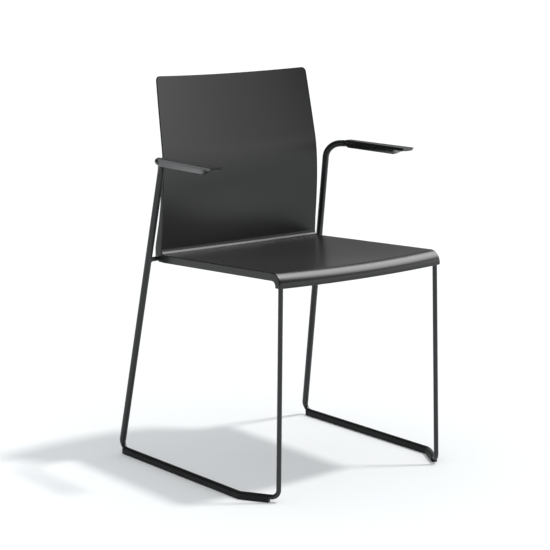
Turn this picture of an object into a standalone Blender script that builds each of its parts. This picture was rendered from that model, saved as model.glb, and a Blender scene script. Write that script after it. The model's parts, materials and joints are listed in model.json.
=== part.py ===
"""Stacking armchair on a sled base.

A one-piece moulded shell (seat and back) is nested over two bent steel side frames. Each side frame is one
bar: armrest spigot, post, rear leg, floor runner, front leg and seat rail. Two cross bars join the frames,
four welded lugs carry the shell's screws, and moulded pads and glides finish the arms and the runners.
Metres, +Z up, the sitter faces -Y, and the origin is on the floor below the middle of the chair.
"""

import math

import bmesh
import bpy
from mathutils import Matrix, Vector

# Clearances, and how far a cutter reaches past what it cuts
SEAT_GAP = 0.0003
NEST_GAP = 0.0008
CUT_MARGIN = 0.0010

# Faces that bend more than this are split into flat ones
FLAT_WITHIN = math.radians(0.01)

# Shell, side profile; heights above the seat's front edge are named as rises and drops
SEAT_FRONT_HEIGHT = 0.4600
SEAT_FRONT_Y = -0.2105
SEAT_DEPTH = 0.3755
SEAT_SLOPE = 0.0483
LIP_REACH = 0.0270
LIP_RADIUS = 0.0245
LIP_DROP = 0.0290
BACK_BEND = 0.0080
BACK_RISE = 0.3538
BACK_LEANS = (
    (0.030, -0.088), (0.115, -0.030), (0.155, 0.022), (0.190, 0.114),
    (0.212, 0.192), (0.290, 0.190), (0.354, 0.190),
)

# Shell, widths and curves across
SEAT_HALF_WIDTH = 0.2099
SEAT_FRONT_FLARE = 0.0015
LIP_FLARE = 0.0014
BACK_WAIST = 0.0010
BACK_TAPER = 0.0090
BACK_TAPER_STARTS = 0.0800
BACK_TAPER_POWER = 1.6
LIP_CORNER = 0.0021
LIP_EDGE_ROUND = 0.0018
BACK_CORNER = 0.0098
FRONT_BOW = 0.0150
FRONT_DISH = 0.0020
MIDDLE_DISH = 0.0055
REAR_DISH = 0.0027
BEND_HOLLOW = 0.0100
LUMBAR_HOLLOW = 0.0200
BACK_TOP_HOLLOW = 0.0240
BACK_TOP_DIP = 0.0011
LIP_DISH = 0.0004

# Shell, where along the seat or the back a curve has run out, as shares of its length from the rear bend
SEAT_CURVE_CHANGES = 0.45
BACK_WAIST_SHARE = 0.08
BACK_DISH_SHARE = 0.15
LUMBAR_SHARE = 0.35
BACK_WALL_SHARE = 0.50
BACK_DIP_SHARE = 0.85

# Shell, walls and rim
SEAT_WALL = 0.0036
BACK_WALL = 0.0030
RIM_WALL = 0.0024
LEAST_RIM_WALL = 0.0014
RIM_DRAFT = 0.0008
RIM_EDGE_ROUND = 0.0009
SEAT_RIM_DEPTH = 0.0162
REAR_RIM_CORNER = 0.0070
BAR_NOTCH_DEPTH = 0.0120
LIP_RIM_DEPTH = 0.0132
BACK_RIM_DEPTHS = ((0.0, 0.0200), (0.025, 0.0178), (0.055, 0.0132), (0.090, 0.0094), (0.190, 0.0031))
ACROSS = 18
EDGE_BUNCHING = 0.35

# Shell, ribs and screw bosses under the seat
RIB_THICKNESS = 0.0024
LONG_RIB_DEPTH = 0.0075
LONG_RIB_ROOT = 0.0018
LONG_RIB_OVERRUN = 0.0090
CROSS_RIB_DEPTH = 0.0069
CROSS_RIB_ROOT = 0.0014
LONG_RIBS = 4
LONG_RIB_SPACING = 0.0800
CROSS_RIBS = 3
CROSS_RIB_FRONT_INSET = 0.0955
CROSS_RIB_REAR_INSET = 0.1100
RIB_SIDE_INSET = 0.0250
BOSS_RADIUS = 0.0058
BOSS_SKIN = 0.0022

# Side frame bar
LEG_RADIUS = 0.0072
RUNNER_RADIUS = 0.0049
SPIGOT_RADIUS = 0.0045
BAR_BEVEL_RESOLUTION = 4
BEND_STEP = math.radians(11)

# Rear leg and post, one straight line through the rear cross bar's end
LEG_STANDS_OFF = 0.0147
REAR_BAR_BEHIND_BACK = 0.0134
REAR_BAR_DROP = 0.0097
REAR_LEAN = 0.1834
REAR_SPLAY = 0.0546

# Front leg and runner
FRONT_RAKE = 0.0120
FRONT_SPLAY = 0.0211
KINK_SET_BACK = 0.0710
REAR_FLOOR_BEND = 0.0170
KINK_BEND = 0.0200
FRONT_FLOOR_BEND = 0.0155
UNDER_LIP_BEND = 0.0175

# Cross bar inside the lip
FRONT_BAR_SET_BACK = 0.0030
FRONT_BAR_DROP = 0.0200

# Armrest
ARM_RISE = 0.1965
ARM_AXIS_DROP = 0.0092
ARM_OUTSET = 0.0310
PAD_AHEAD_OF_POST = 0.0374
ARM_SPREAD_PER_LENGTH = 0.0115
ARM_TURN_BEFORE_PAD = 0.0125
POST_TOP_BEND = 0.0330
ARM_BEND = 0.0165
SPIGOT_LENGTH = 0.1100
SPIGOT_SHOULDER = 0.0012

# Armrest pad
PAD_LENGTH = 0.1935
PAD_REAR_WIDTH = 0.0160
PAD_FRONT_WIDTH = 0.0300
PAD_PLATE = 0.0066
PAD_EDGE_ROUND = 0.0009
PAD_LEDGE = 0.0012
PAD_KEEL_DEPTH = 0.0108
PAD_KEEL_WIDTH = 0.0104
PAD_KEEL_NOSE = 0.0280
PAD_KEEL_ENDS_BEFORE_NOSE = 0.0155
PAD_KEEL_TAIL = 0.0040
PAD_KEEL_LEAST = 0.0006
PAD_CREASE_ACROSS = 0.32
PAD_CREASE_DOWN = 0.45
PAD_TAIL_LIFT = 0.0016
PAD_TAIL_CORNER = 0.0009
PAD_NOSE_UNDERCUT = 0.0045
PAD_NOSE_POWER = 8
PAD_CORNER = 0.0015

# Screws and lugs
FIXING_FRONT_INSET = 0.0605
FIXING_REAR_INSET = 0.0700
FIXING_FROM_RAIL = 0.0250
LUG_THICKNESS = 0.0030
LUG_HALF_WIDTH = 0.0105
SHELL_SCREW_RADIUS = 0.0020
SHELL_SCREW_HEAD_RADIUS = 0.0042
SHELL_SCREW_HEAD = 0.0026
SHELL_SCREW_GRIP = 0.0086
PAD_SCREW_PLACES = (0.0220, 0.0900)
PAD_SCREW_RADIUS = 0.0016
PAD_SCREW_HEAD_RADIUS = 0.0033
PAD_SCREW_HEAD = 0.0020
PAD_SCREW_BITE = 0.0045

# Runner glides
GLIDE_DEPTH = 0.0063
GLIDE_WALL = 0.0013
GLIDE_LIP = 0.0015
GLIDE_CHAMFER = 0.0019
GLIDE_REAR_INSET = 0.0110
GLIDE_FRONT_INSET = 0.0200

RUNNER_AXIS = GLIDE_DEPTH + RUNNER_RADIUS
SEAT_ANGLE = math.atan(SEAT_SLOPE)
RAIL_DROP = SEAT_WALL + NEST_GAP + RUNNER_RADIUS
LIP_FRONT_Y = SEAT_FRONT_Y - LIP_REACH
LIP_BOTTOM = SEAT_FRONT_HEIGHT - LIP_DROP
BACK_FOOT_Y = SEAT_FRONT_Y + SEAT_DEPTH
BACK_TOP = SEAT_FRONT_HEIGHT + BACK_RISE
REAR_BAR_Y = BACK_FOOT_Y + REAR_BAR_BEHIND_BACK
REAR_BAR_Z = SEAT_FRONT_HEIGHT - SEAT_SLOPE * SEAT_DEPTH - REAR_BAR_DROP
REAR_BAR_END = SEAT_HALF_WIDTH + RIM_DRAFT + LEG_STANDS_OFF + LEG_RADIUS
FRONT_BAR_Z = SEAT_FRONT_HEIGHT - FRONT_BAR_DROP
ARM_HEIGHT = SEAT_FRONT_HEIGHT + ARM_RISE
ARM_AXIS = ARM_HEIGHT - ARM_AXIS_DROP
PAD_KEEL_FRONT = PAD_LENGTH - PAD_KEEL_ENDS_BEFORE_NOSE - PAD_KEEL_NOSE


def clear_scene():
    for old in list(bpy.data.objects):
        bpy.data.objects.remove(old, do_unlink=True)


def make_material(name, color, roughness, metallic=0.0):
    material = bpy.data.materials.new(name)
    material.use_nodes = True
    shader = material.node_tree.nodes["Principled BSDF"]
    shader.inputs["Base Color"].default_value = (*color, 1.0)
    shader.inputs["Roughness"].default_value = roughness
    shader.inputs["Metallic"].default_value = metallic
    material.diffuse_color = (*color, 1.0)
    return material


def chair_origin():
    """The empty that carries every piece; it puts the chair's overall middle over the world's origin."""
    if "chair_origin" in bpy.data.objects:
        return bpy.data.objects["chair_origin"]
    bar = frame_points()
    front = min([LIP_FRONT_Y - FRONT_BOW] + [point.y - radius for point, radius in bar])
    rear = max(point.y + radius for point, radius in bar)
    empty = bpy.data.objects.new("chair_origin", None)
    empty.location.y = -(front + rear) / 2.0
    bpy.context.collection.objects.link(empty)
    return empty


def add_object(name, mesh, material=None, smooth_angle=None):
    mesh.name = name
    made = bpy.data.objects.new(name, mesh)
    made.parent = chair_origin()
    bpy.context.collection.objects.link(made)
    if material:
        mesh.materials.clear()
        mesh.materials.append(material)
    if smooth_angle is not None:
        mesh.shade_smooth()
        mesh.set_sharp_from_angle(angle=smooth_angle)
    return made


def mesh_from(points, faces):
    """A closed mesh whose faces all point outward and are flat, so that cuts and unions stay exact."""
    mesh = bpy.data.meshes.new("mesh")
    mesh.from_pydata([tuple(point) for point in points], [], faces)
    shape = bmesh.new()
    shape.from_mesh(mesh)
    bmesh.ops.connect_verts_nonplanar(shape, angle_limit=FLAT_WITHIN, faces=shape.faces)
    bmesh.ops.recalc_face_normals(shape, faces=shape.faces)
    shape.to_mesh(mesh)
    shape.free()
    return mesh


def as_helper(made):
    made.hide_render = True
    made.display_type = "WIRE"
    return made


def use_boolean(target, helper, operation, solver="EXACT"):
    step = target.modifiers.new(helper.name, "BOOLEAN")
    step.operation = operation
    step.object = helper
    step.solver = solver
    return step


def smooth_step(value):
    held = min(max(value, 0.0), 1.0)
    return held * held * (3.0 - 2.0 * held)


def blend(first, last, share):
    return first + (last - first) * share


def read_table(table, rise):
    """The value of a (rise, value) table at a height, straight between its rows."""
    if rise <= table[0][0]:
        return table[0][1]
    for (low, first), (high, last) in zip(table, table[1:]):
        if rise <= high:
            return blend(first, last, (rise - low) / (high - low))
    return table[-1][1]


def lathe(profile, sides=16):
    """A closed solid of revolution about Z from (radius, height) points that start and end on the axis."""
    points = []
    rings = []
    for radius, height in profile:
        if radius == 0.0:
            rings.append([len(points)])
            points.append((0.0, 0.0, height))
            continue
        ring = []
        for step in range(sides):
            angle = 2.0 * math.pi * step / sides
            ring.append(len(points))
            points.append((radius * math.cos(angle), radius * math.sin(angle), height))
        rings.append(ring)
    faces = []
    for low, high in zip(rings, rings[1:]):
        for step in range(sides):
            after = (step + 1) % sides
            corners = [low[step % len(low)], low[after % len(low)]]
            corners += [high[after % len(high)], high[step % len(high)]]
            faces.append(list(dict.fromkeys(corners)))
    return mesh_from(points, faces)


def rod_mesh(radius, start, end, sides=16):
    """A plain rod between two points, used for cross bars and as a cutter."""
    start = Vector(start)
    end = Vector(end)
    length = (end - start).length
    mesh = lathe(((0.0, 0.0), (radius, 0.0), (radius, length), (0.0, length)), sides)
    turn = Vector((0.0, 0.0, 1.0)).rotation_difference(end - start).to_matrix().to_4x4()
    mesh.transform(Matrix.Translation(start) @ turn)
    return mesh


def bent_path(corners, bends):
    """Points along straight runs that are joined by round bends; bends holds one radius per inner corner."""
    points = [corners[0]]
    for before, corner, after, radius in zip(corners, corners[1:], corners[2:], bends):
        back = (before - corner).normalized()
        ahead = (after - corner).normalized()
        turn = math.pi - back.angle(ahead)
        reach = radius * math.tan(turn / 2.0)
        start = corner + back * reach
        inward = (back + ahead).normalized()
        centre = corner + inward * (radius / math.cos(turn / 2.0))
        axis = back.cross(start - centre).normalized()
        steps = max(2, math.ceil(turn / BEND_STEP))
        for step in range(steps + 1):
            swing = Matrix.Rotation(turn * step / steps, 3, axis)
            points.append(centre + swing @ (start - centre))
    points.append(corners[-1])
    return points


def seat_edge_height(y):
    """Height of the seat's top face along its side edges."""
    return SEAT_FRONT_HEIGHT - SEAT_SLOPE * (y - SEAT_FRONT_Y)


def rail_height(y):
    return seat_edge_height(y) - RAIL_DROP


def rear_leg_at(height):
    """Axis of the left frame's rear leg and post."""
    rise = height - REAR_BAR_Z
    return Vector((REAR_BAR_END - REAR_SPLAY * rise, REAR_BAR_Y - REAR_LEAN * rise, height))


def arm_line_at(along):
    """Centre line of the left armrest, at a distance ahead of the pad's rear end."""
    post = rear_leg_at(ARM_AXIS)
    x = post.x + ARM_OUTSET + ARM_SPREAD_PER_LENGTH * along
    return Vector((x, post.y - PAD_AHEAD_OF_POST - along, ARM_AXIS))


def front_leg_top():
    """Where the front leg's line meets the rail's, nested in the corner of the lip and the rim."""
    half = SEAT_HALF_WIDTH + SEAT_FRONT_FLARE
    x = rail_x(half)
    bow = FRONT_BOW * (1.0 - (x / half) ** 2)
    y = LIP_FRONT_Y + SEAT_WALL + SEAT_GAP + RUNNER_RADIUS - bow
    return Vector((x, y, rail_height(y)))


def rear_rail_end():
    return Vector((rail_x(SEAT_HALF_WIDTH), REAR_BAR_Y, rail_height(REAR_BAR_Y)))


def rail_x(half_width):
    """The rail's distance from the middle where the shell has this half width."""
    return half_width + RIM_DRAFT * 0.5 - RIM_WALL - NEST_GAP - RUNNER_RADIUS


def floor_corners():
    """The runner's corners on the floor: rear foot, kink and front foot."""
    top = front_leg_top()
    fall = top.z - RUNNER_AXIS
    rear = rear_leg_at(RUNNER_AXIS)
    front = Vector((top.x + FRONT_SPLAY * fall, top.y - FRONT_RAKE * fall, RUNNER_AXIS))
    kink = Vector((rear.x, front.y + KINK_SET_BACK, RUNNER_AXIS))
    return [rear, kink, front]


def frame_corners():
    arm = [arm_line_at(0.0), arm_line_at(-ARM_TURN_BEFORE_PAD), rear_leg_at(ARM_AXIS)]
    return arm + floor_corners() + [front_leg_top(), rear_rail_end()]


def bar_radius(point, past_rear_foot):
    """Full bar on the arm and rear leg, drawn down to the runner's size round the rear floor bend."""
    if past_rear_foot:
        return RUNNER_RADIUS
    share = smooth_step((point.z - RUNNER_AXIS) / (REAR_FLOOR_BEND * 1.5))
    return blend(RUNNER_RADIUS, LEG_RADIUS, share)


def frame_points():
    """The left frame's centre line and radii, from the spigot's tip to the rail's rear end."""
    bends = [ARM_BEND, POST_TOP_BEND, REAR_FLOOR_BEND, KINK_BEND, FRONT_FLOOR_BEND, UNDER_LIP_BEND]
    path = bent_path(frame_corners(), bends)
    lowest = min(range(len(path)), key=lambda index: (round(path[index].z, 5), index))
    points = [(point, bar_radius(point, index >= lowest)) for index, point in enumerate(path)]
    spigot = [
        (arm_line_at(SPIGOT_LENGTH), SPIGOT_RADIUS),
        (arm_line_at(-SEAT_GAP), SPIGOT_RADIUS),
        (arm_line_at(-SEAT_GAP - SPIGOT_SHOULDER), LEG_RADIUS),
    ]
    return spigot + points[1:]


def side_frame(name, side, material):
    """One bent bar; side is 1 for the sitter's left (+X) and -1 for the right (-X)."""
    points = frame_points()
    curve = bpy.data.curves.new(name, "CURVE")
    curve.dimensions = "3D"
    curve.bevel_depth = LEG_RADIUS
    curve.bevel_resolution = BAR_BEVEL_RESOLUTION
    curve.use_fill_caps = True
    spline = curve.splines.new("POLY")
    spline.points.add(len(points) - 1)
    for knot, (point, radius) in zip(spline.points, points):
        knot.co = (side * point.x, point.y, point.z, 1.0)
        knot.radius = radius / LEG_RADIUS
    route = bpy.data.objects.new(name + "_route", curve)
    bpy.context.collection.objects.link(route)
    bpy.context.view_layer.update()
    bar = bpy.data.meshes.new_from_object(route.evaluated_get(bpy.context.evaluated_depsgraph_get()))
    bpy.data.objects.remove(route, do_unlink=True)
    shape = bmesh.new()
    shape.from_mesh(bar)
    bmesh.ops.remove_doubles(shape, verts=shape.verts, dist=0.00001)
    bmesh.ops.recalc_face_normals(shape, faces=shape.faces)
    shape.to_mesh(bar)
    shape.free()
    frame = add_object(name, bar, material, math.radians(40))
    saddle = rod_mesh(RUNNER_RADIUS + SEAT_GAP, rear_bar_end(-side), rear_bar_end(side))
    use_boolean(frame, as_helper(add_object(name + "_saddle_cut", saddle)), "DIFFERENCE")
    for number, place in enumerate(PAD_SCREW_PLACES):
        foot = pad_screw_foot(side, place)
        hole = rod_mesh(PAD_SCREW_RADIUS + SEAT_GAP, foot, pad_screw_tip(side, place), 12)
        use_boolean(frame, as_helper(add_object(f"{name}_screw_hole_{number}", hole)), "DIFFERENCE")
    return frame


def rear_bar_end(side):
    leg = rear_leg_at(REAR_BAR_Z)
    return Vector((side * leg.x, leg.y, REAR_BAR_Z))


def front_bar_end(side):
    top = front_leg_top()
    return Vector((side * top.x, top.y + FRONT_BAR_SET_BACK, FRONT_BAR_Z))


def cross_bar(name, end_at, cutters, material, solver):
    """A round bar between the frames, its ends coped to the bars that they are welded to."""
    bar = add_object(name, rod_mesh(RUNNER_RADIUS, end_at(-1), end_at(1)), material, math.radians(40))
    for number, cutter in enumerate(cutters):
        use_boolean(bar, as_helper(add_object(f"{name}_cope_{number}", cutter)), "DIFFERENCE", solver)
    return bar


def leg_cope(side):
    """A cutter along the rear leg, with the weld gap round it, longer outward than the bar's end."""
    low = rear_leg_at(REAR_BAR_Z - 0.03)
    high = rear_leg_at(REAR_BAR_Z + 0.03)
    mirror = Vector((side, 1.0, 1.0))
    return rod_mesh(LEG_RADIUS + SEAT_GAP, low * mirror, high * mirror, 24)


def front_leg_cope(side):
    """The front leg's top bend as a cutter, so that the bar's end hugs it."""
    path = bent_path([floor_corners()[-1], front_leg_top(), rear_rail_end()], [UNDER_LIP_BEND])
    ring_count = 16
    points = []
    faces = []
    radius = RUNNER_RADIUS + SEAT_GAP
    for index, point in enumerate(path):
        before = path[max(index - 1, 0)]
        after = path[min(index + 1, len(path) - 1)]
        along = (after - before).normalized()
        across = Vector((1.0, 0.0, 0.0))
        upright = along.cross(across).normalized()
        across = upright.cross(along)
        for step in range(ring_count):
            angle = 2.0 * math.pi * step / ring_count
            at = point + across * (radius * math.cos(angle)) + upright * (radius * math.sin(angle))
            points.append((side * at.x, at.y, at.z))
    for ring in range(len(path) - 1):
        for step in range(ring_count):
            after = (step + 1) % ring_count
            first = ring * ring_count
            faces.append([first + step, first + after, first + ring_count + after, first + ring_count + step])
    faces.append(list(range(ring_count)))
    faces.append(list(range((len(path) - 1) * ring_count, len(path) * ring_count)))
    return mesh_from(points, faces)


def back_edge_y(height, foot):
    """The back's front face along its side edges, found by adding up its lean from the foot."""
    steps = 60
    y = BACK_FOOT_Y
    step = (height - foot) / steps
    for index in range(steps):
        y += read_table(BACK_LEANS, foot + (index + 0.5) * step - SEAT_FRONT_HEIGHT) * step
    return y


def corner_loss(distance, radius):
    """How far a rounded corner draws the edge in, at a distance from the end."""
    if distance >= radius:
        return 0.0
    return radius - math.sqrt(max(radius * radius - (radius - distance) ** 2, 0.0))


def seat_station(y, z):
    """Widths and hollows where the shell is seat; share runs from 0 at the rear bend to 1 at the lip."""
    share = (BACK_FOOT_Y - y) / (BACK_FOOT_Y - SEAT_FRONT_Y)
    dish = blend(REAR_DISH, FRONT_DISH, min(share, 1.0)) + MIDDLE_DISH * max(4.0 * share * (1.0 - share), 0.0)
    bow = FRONT_BOW * smooth_step((share - SEAT_CURVE_CHANGES) / (1.0 - SEAT_CURVE_CHANGES))
    shift = BEND_HOLLOW * smooth_step(1.0 - share / SEAT_CURVE_CHANGES) - bow
    width = SEAT_HALF_WIDTH + SEAT_FRONT_FLARE * share
    return {
        "full_width": width,
        "half_width": width,
        "shift": shift,
        "dish": dish,
        "wall": SEAT_WALL,
        "rim": SEAT_RIM_DEPTH,
        "rim_wall": RIM_WALL,
        "y": y,
        "z": z,
        "down": Vector((0.0, -math.sin(SEAT_ANGLE), -math.cos(SEAT_ANGLE))),
    }


def lip_station(y, z, angle):
    """The lip's arc and apron; near its lower edge only the front wall is left, and the leg passes behind."""
    rise = z - LIP_BOTTOM
    drop = smooth_step((SEAT_FRONT_HEIGHT - z) / (SEAT_FRONT_HEIGHT - LIP_BOTTOM))
    width = SEAT_HALF_WIDTH + SEAT_FRONT_FLARE + LIP_FLARE * drop
    narrowed = corner_loss(rise, LIP_CORNER)
    edge = corner_loss(rise, LIP_EDGE_ROUND)
    place = seat_station(SEAT_FRONT_Y, z)
    place["y"] = y + edge
    place["full_width"] = width
    place["half_width"] = width - narrowed
    place["dish"] = blend(FRONT_DISH, LIP_DISH, drop)
    place["wall"] = SEAT_WALL - edge
    place["rim"] = blend(SEAT_RIM_DEPTH, LIP_RIM_DEPTH, drop)
    place["rim_wall"] = max(RIM_WALL - narrowed, LEAST_RIM_WALL)
    place["down"] = Vector((0.0, math.cos(angle), -math.sin(angle)))
    return place


def back_station(z, foot):
    y = back_edge_y(z, foot)
    share = (z - foot) / (BACK_TOP - foot)
    taper_from = SEAT_FRONT_HEIGHT + BACK_TAPER_STARTS
    taper = BACK_TAPER * max((z - taper_from) / (BACK_TOP - taper_from), 0.0) ** BACK_TAPER_POWER
    width = SEAT_HALF_WIDTH - BACK_WAIST * smooth_step(share / BACK_WAIST_SHARE) - taper
    hollow = blend(BEND_HOLLOW, LUMBAR_HOLLOW, smooth_step(share / LUMBAR_SHARE))
    hollow = blend(hollow, BACK_TOP_HOLLOW, smooth_step((share - LUMBAR_SHARE) / (1.0 - LUMBAR_SHARE)))
    lean = read_table(BACK_LEANS, z - SEAT_FRONT_HEIGHT)
    dip = BACK_TOP_DIP * smooth_step((share - BACK_DIP_SHARE) / (1.0 - BACK_DIP_SHARE))
    return {
        "full_width": width,
        "half_width": width - corner_loss(BACK_TOP - z, BACK_CORNER),
        "shift": hollow,
        "dish": blend(REAR_DISH, hollow * lean, smooth_step(share / BACK_DISH_SHARE)) + dip,
        "wall": blend(SEAT_WALL, BACK_WALL, smooth_step(share / BACK_WALL_SHARE)),
        "rim": read_table(BACK_RIM_DEPTHS, z - foot),
        "rim_wall": RIM_WALL,
        "y": y,
        "z": z,
        "down": Vector((0.0, 1.0, -lean)).normalized(),
    }


def rear_rim_depth(angle):
    """Depth of the rims round the rear bend; their edge makes a rounded corner below and behind the bend."""
    low = BACK_BEND + SEAT_RIM_DEPTH
    rear = BACK_BEND + BACK_RIM_DEPTHS[0][1]
    ray = Vector((math.cos(angle), math.sin(angle)))
    corner = Vector((rear - REAR_RIM_CORNER, REAR_RIM_CORNER - low))
    if ray.y < 0.0 and -low / ray.y * ray.x <= corner.x:
        return -low / ray.y - BACK_BEND
    if rear / ray.x * ray.y >= corner.y:
        return rear / ray.x - BACK_BEND
    ahead = ray.dot(corner)
    return ahead + math.sqrt(ahead * ahead - corner.length_squared + REAR_RIM_CORNER ** 2) - BACK_BEND


def shell_stations():
    """The shell's side profile from the lip's lower edge over the seat and up the back."""
    stations = []
    arc_y = LIP_FRONT_Y + LIP_RADIUS
    arc_top_y = arc_y + LIP_RADIUS * math.sin(SEAT_ANGLE)
    arc_z = seat_edge_height(arc_top_y) - LIP_RADIUS * math.cos(SEAT_ANGLE)
    apron = arc_z - LIP_BOTTOM
    for rise in (0.0, LIP_EDGE_ROUND * 0.35, LIP_EDGE_ROUND, apron * 0.5):
        stations.append(lip_station(LIP_FRONT_Y, LIP_BOTTOM + rise, 0.0))
    lip_steps = 9
    for step in range(lip_steps + 1):
        angle = (math.pi / 2.0 + SEAT_ANGLE) * step / lip_steps
        y = arc_y - LIP_RADIUS * math.cos(angle)
        z = arc_z + LIP_RADIUS * math.sin(angle)
        stations.append(lip_station(y, z, angle))
    foot_height = seat_edge_height(BACK_FOOT_Y)
    back_angle = math.atan(-BACK_LEANS[0][1])
    turn = math.pi / 2.0 + back_angle + SEAT_ANGLE
    reach = BACK_BEND * math.tan(turn / 2.0)
    seat_steps = 9
    seat_end_y = BACK_FOOT_Y - reach * math.cos(SEAT_ANGLE)
    for step in range(1, seat_steps):
        y = blend(arc_top_y, seat_end_y, step / seat_steps)
        stations.append(seat_station(y, seat_edge_height(y)))
    centre_y = seat_end_y + BACK_BEND * math.sin(SEAT_ANGLE)
    centre_z = seat_edge_height(seat_end_y) + BACK_BEND * math.cos(SEAT_ANGLE)
    bend_steps = 8
    for step in range(bend_steps + 1):
        angle = -math.pi / 2.0 - SEAT_ANGLE + turn * step / bend_steps
        place = seat_station(BACK_FOOT_Y, 0.0)
        place["rim"] = rear_rim_depth(angle)
        y = centre_y + BACK_BEND * math.cos(angle)
        z = centre_z + BACK_BEND * math.sin(angle)
        place.update({"y": y, "z": z, "down": Vector((0.0, math.cos(angle), math.sin(angle)))})
        stations.append(place)
    foot = stations[-1]["z"]
    offset = stations[-1]["y"] - back_station(foot, foot)["y"]
    back_steps = 14
    heights = [blend(foot, BACK_TOP - BACK_CORNER, step / back_steps) for step in range(1, back_steps + 1)]
    heights += [BACK_TOP - BACK_CORNER * share for share in (0.6, 0.3, 0.1, 0.0)]
    for height in heights:
        place = back_station(height, foot)
        place["y"] += offset
        stations.append(place)
    return stations


def shell_point(place, across):
    """Across runs from -1 to 1 between the shell's side edges."""
    x = place["half_width"] * across
    crown = 1.0 - (x / place["full_width"]) ** 2
    return Vector((
        x,
        place["y"] + place["shift"] * crown,
        place["z"] - place["dish"] * crown,
    ))


def spans_across():
    """Places across the shell from -1 to 1, closer together towards the edges."""
    even = [2.0 * index / ACROSS - 1.0 for index in range(ACROSS + 1)]
    return [blend(span, math.sin(math.pi / 2.0 * span), EDGE_BUNCHING) for span in even]


def seat_shell(material):
    """Rings across the shell, each a channel section: top face, rounded edges, deep rims and underside."""
    points = []
    rings = []
    for place in shell_stations():
        down = place["down"]
        half = place["half_width"]
        rim_wall = place["rim_wall"]
        lean = RIM_DRAFT * place["rim"] / SEAT_RIM_DEPTH
        top = []
        under = []
        for span in spans_across():
            across = span * (half - RIM_EDGE_ROUND) / half
            at = shell_point(place, across)
            top.append(at)
            under.append(shell_point(place, span * (half - rim_wall) / half) + down * place["wall"])
        ring = []
        ring += top
        for mirror in (1.0, -1.0):
            edge = shell_point(place, mirror)
            outward = Vector((mirror, 0.0, 0.0))
            rim = [
                edge - outward * (RIM_EDGE_ROUND * 0.3) + down * (RIM_EDGE_ROUND * 0.3),
                edge + down * RIM_EDGE_ROUND,
                edge + outward * lean + down * (place["rim"] - RIM_EDGE_ROUND * 0.5),
                edge + outward * (lean - RIM_EDGE_ROUND * 0.5) + down * place["rim"],
                edge + outward * (lean - rim_wall) + down * place["rim"],
            ]
            if mirror > 0.0:
                ring += rim
                ring += list(reversed(under))
            else:
                ring += list(reversed(rim))
        rings.append([len(points) + index for index in range(len(ring))])
        points += ring
    faces = []
    size = len(rings[0])
    for low, high in zip(rings, rings[1:]):
        for index in range(size):
            after = (index + 1) % size
            faces.append([low[index], low[after], high[after], high[index]])
    tops = ACROSS + 1
    rim_count = 5
    for ring in (rings[0], rings[-1]):
        under_start = tops + rim_count
        under_end = under_start + ACROSS
        for index in range(ACROSS):
            faces.append([ring[index], ring[index + 1], ring[under_end - index - 1], ring[under_end - index]])
        faces.append([ring[index] for index in range(tops - 1, under_start + 1)])
        faces.append([ring[0]] + [ring[index] for index in range(under_end, size)])
    shell = add_object("seat_shell", mesh_from(points, faces), material, math.radians(35))
    use_boolean(shell, rear_bar_notch(), "DIFFERENCE", "MANIFOLD")
    first_rib = SEAT_FRONT_Y + CROSS_RIB_FRONT_INSET
    last_rib = BACK_FOOT_Y - CROSS_RIB_REAR_INSET
    cross_ribs = steps_between(first_rib, last_rib, CROSS_RIBS - 1)
    for number in range(LONG_RIBS):
        x = LONG_RIB_SPACING * (number - (LONG_RIBS - 1) / 2.0)
        ends = (cross_ribs[0] - LONG_RIB_OVERRUN, cross_ribs[-1] + LONG_RIB_OVERRUN)
        spots = [Vector((x, y, 0.0)) for y in steps_between(*ends, 8)]
        thickness = Vector((RIB_THICKNESS, 0.0, 0.0))
        long_rib = rib(f"long_rib_{number}", spots, thickness, LONG_RIB_ROOT, LONG_RIB_DEPTH)
        use_boolean(shell, long_rib, "UNION", "MANIFOLD")
    reach = SEAT_HALF_WIDTH - RIB_SIDE_INSET
    for number, y in enumerate(cross_ribs):
        spots = [Vector((x, y, 0.0)) for x in steps_between(-reach, reach, 14)]
        thickness = Vector((0.0, RIB_THICKNESS, 0.0))
        cross_rib = rib(f"cross_rib_{number}", spots, thickness, CROSS_RIB_ROOT, CROSS_RIB_DEPTH)
        use_boolean(shell, cross_rib, "UNION", "MANIFOLD")
    for place, y in fixing_places():
        for side in (1, -1):
            add_boss(shell, place, y, side)
    return shell


def rear_bar_notch():
    """A cutter for the slots in both rims that let the shell down over the rear cross bar."""
    radius = RUNNER_RADIUS + NEST_GAP
    outline = [(-radius, -BAR_NOTCH_DEPTH), (radius, -BAR_NOTCH_DEPTH)]
    arc_steps = 10
    for step in range(arc_steps + 1):
        angle = math.pi * step / arc_steps
        outline.append((radius * math.cos(angle), radius * math.sin(angle)))
    reach = REAR_BAR_END
    count = len(outline)
    points = []
    for x in (-reach, reach):
        points += [(x, REAR_BAR_Y + y, REAR_BAR_Z + z) for y, z in outline]
    faces = [list(range(count)), list(range(count, 2 * count))]
    for index in range(count):
        after = (index + 1) % count
        faces.append([index, after, count + after, count + index])
    return as_helper(add_object("rear_bar_notch", mesh_from(points, faces)))


def steps_between(first, last, count):
    return [blend(first, last, index / count) for index in range(count + 1)]


def underside_height(x, y):
    """Underside of the seat's wall at a place that is away from the rims and bends."""
    place = seat_station(y, seat_edge_height(y))
    crown = 1.0 - (x / place["full_width"]) ** 2
    middle = seat_station(y - place["shift"] * crown, 0.0)
    return seat_edge_height(y - place["shift"] * crown) - middle["dish"] * crown - SEAT_WALL


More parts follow.
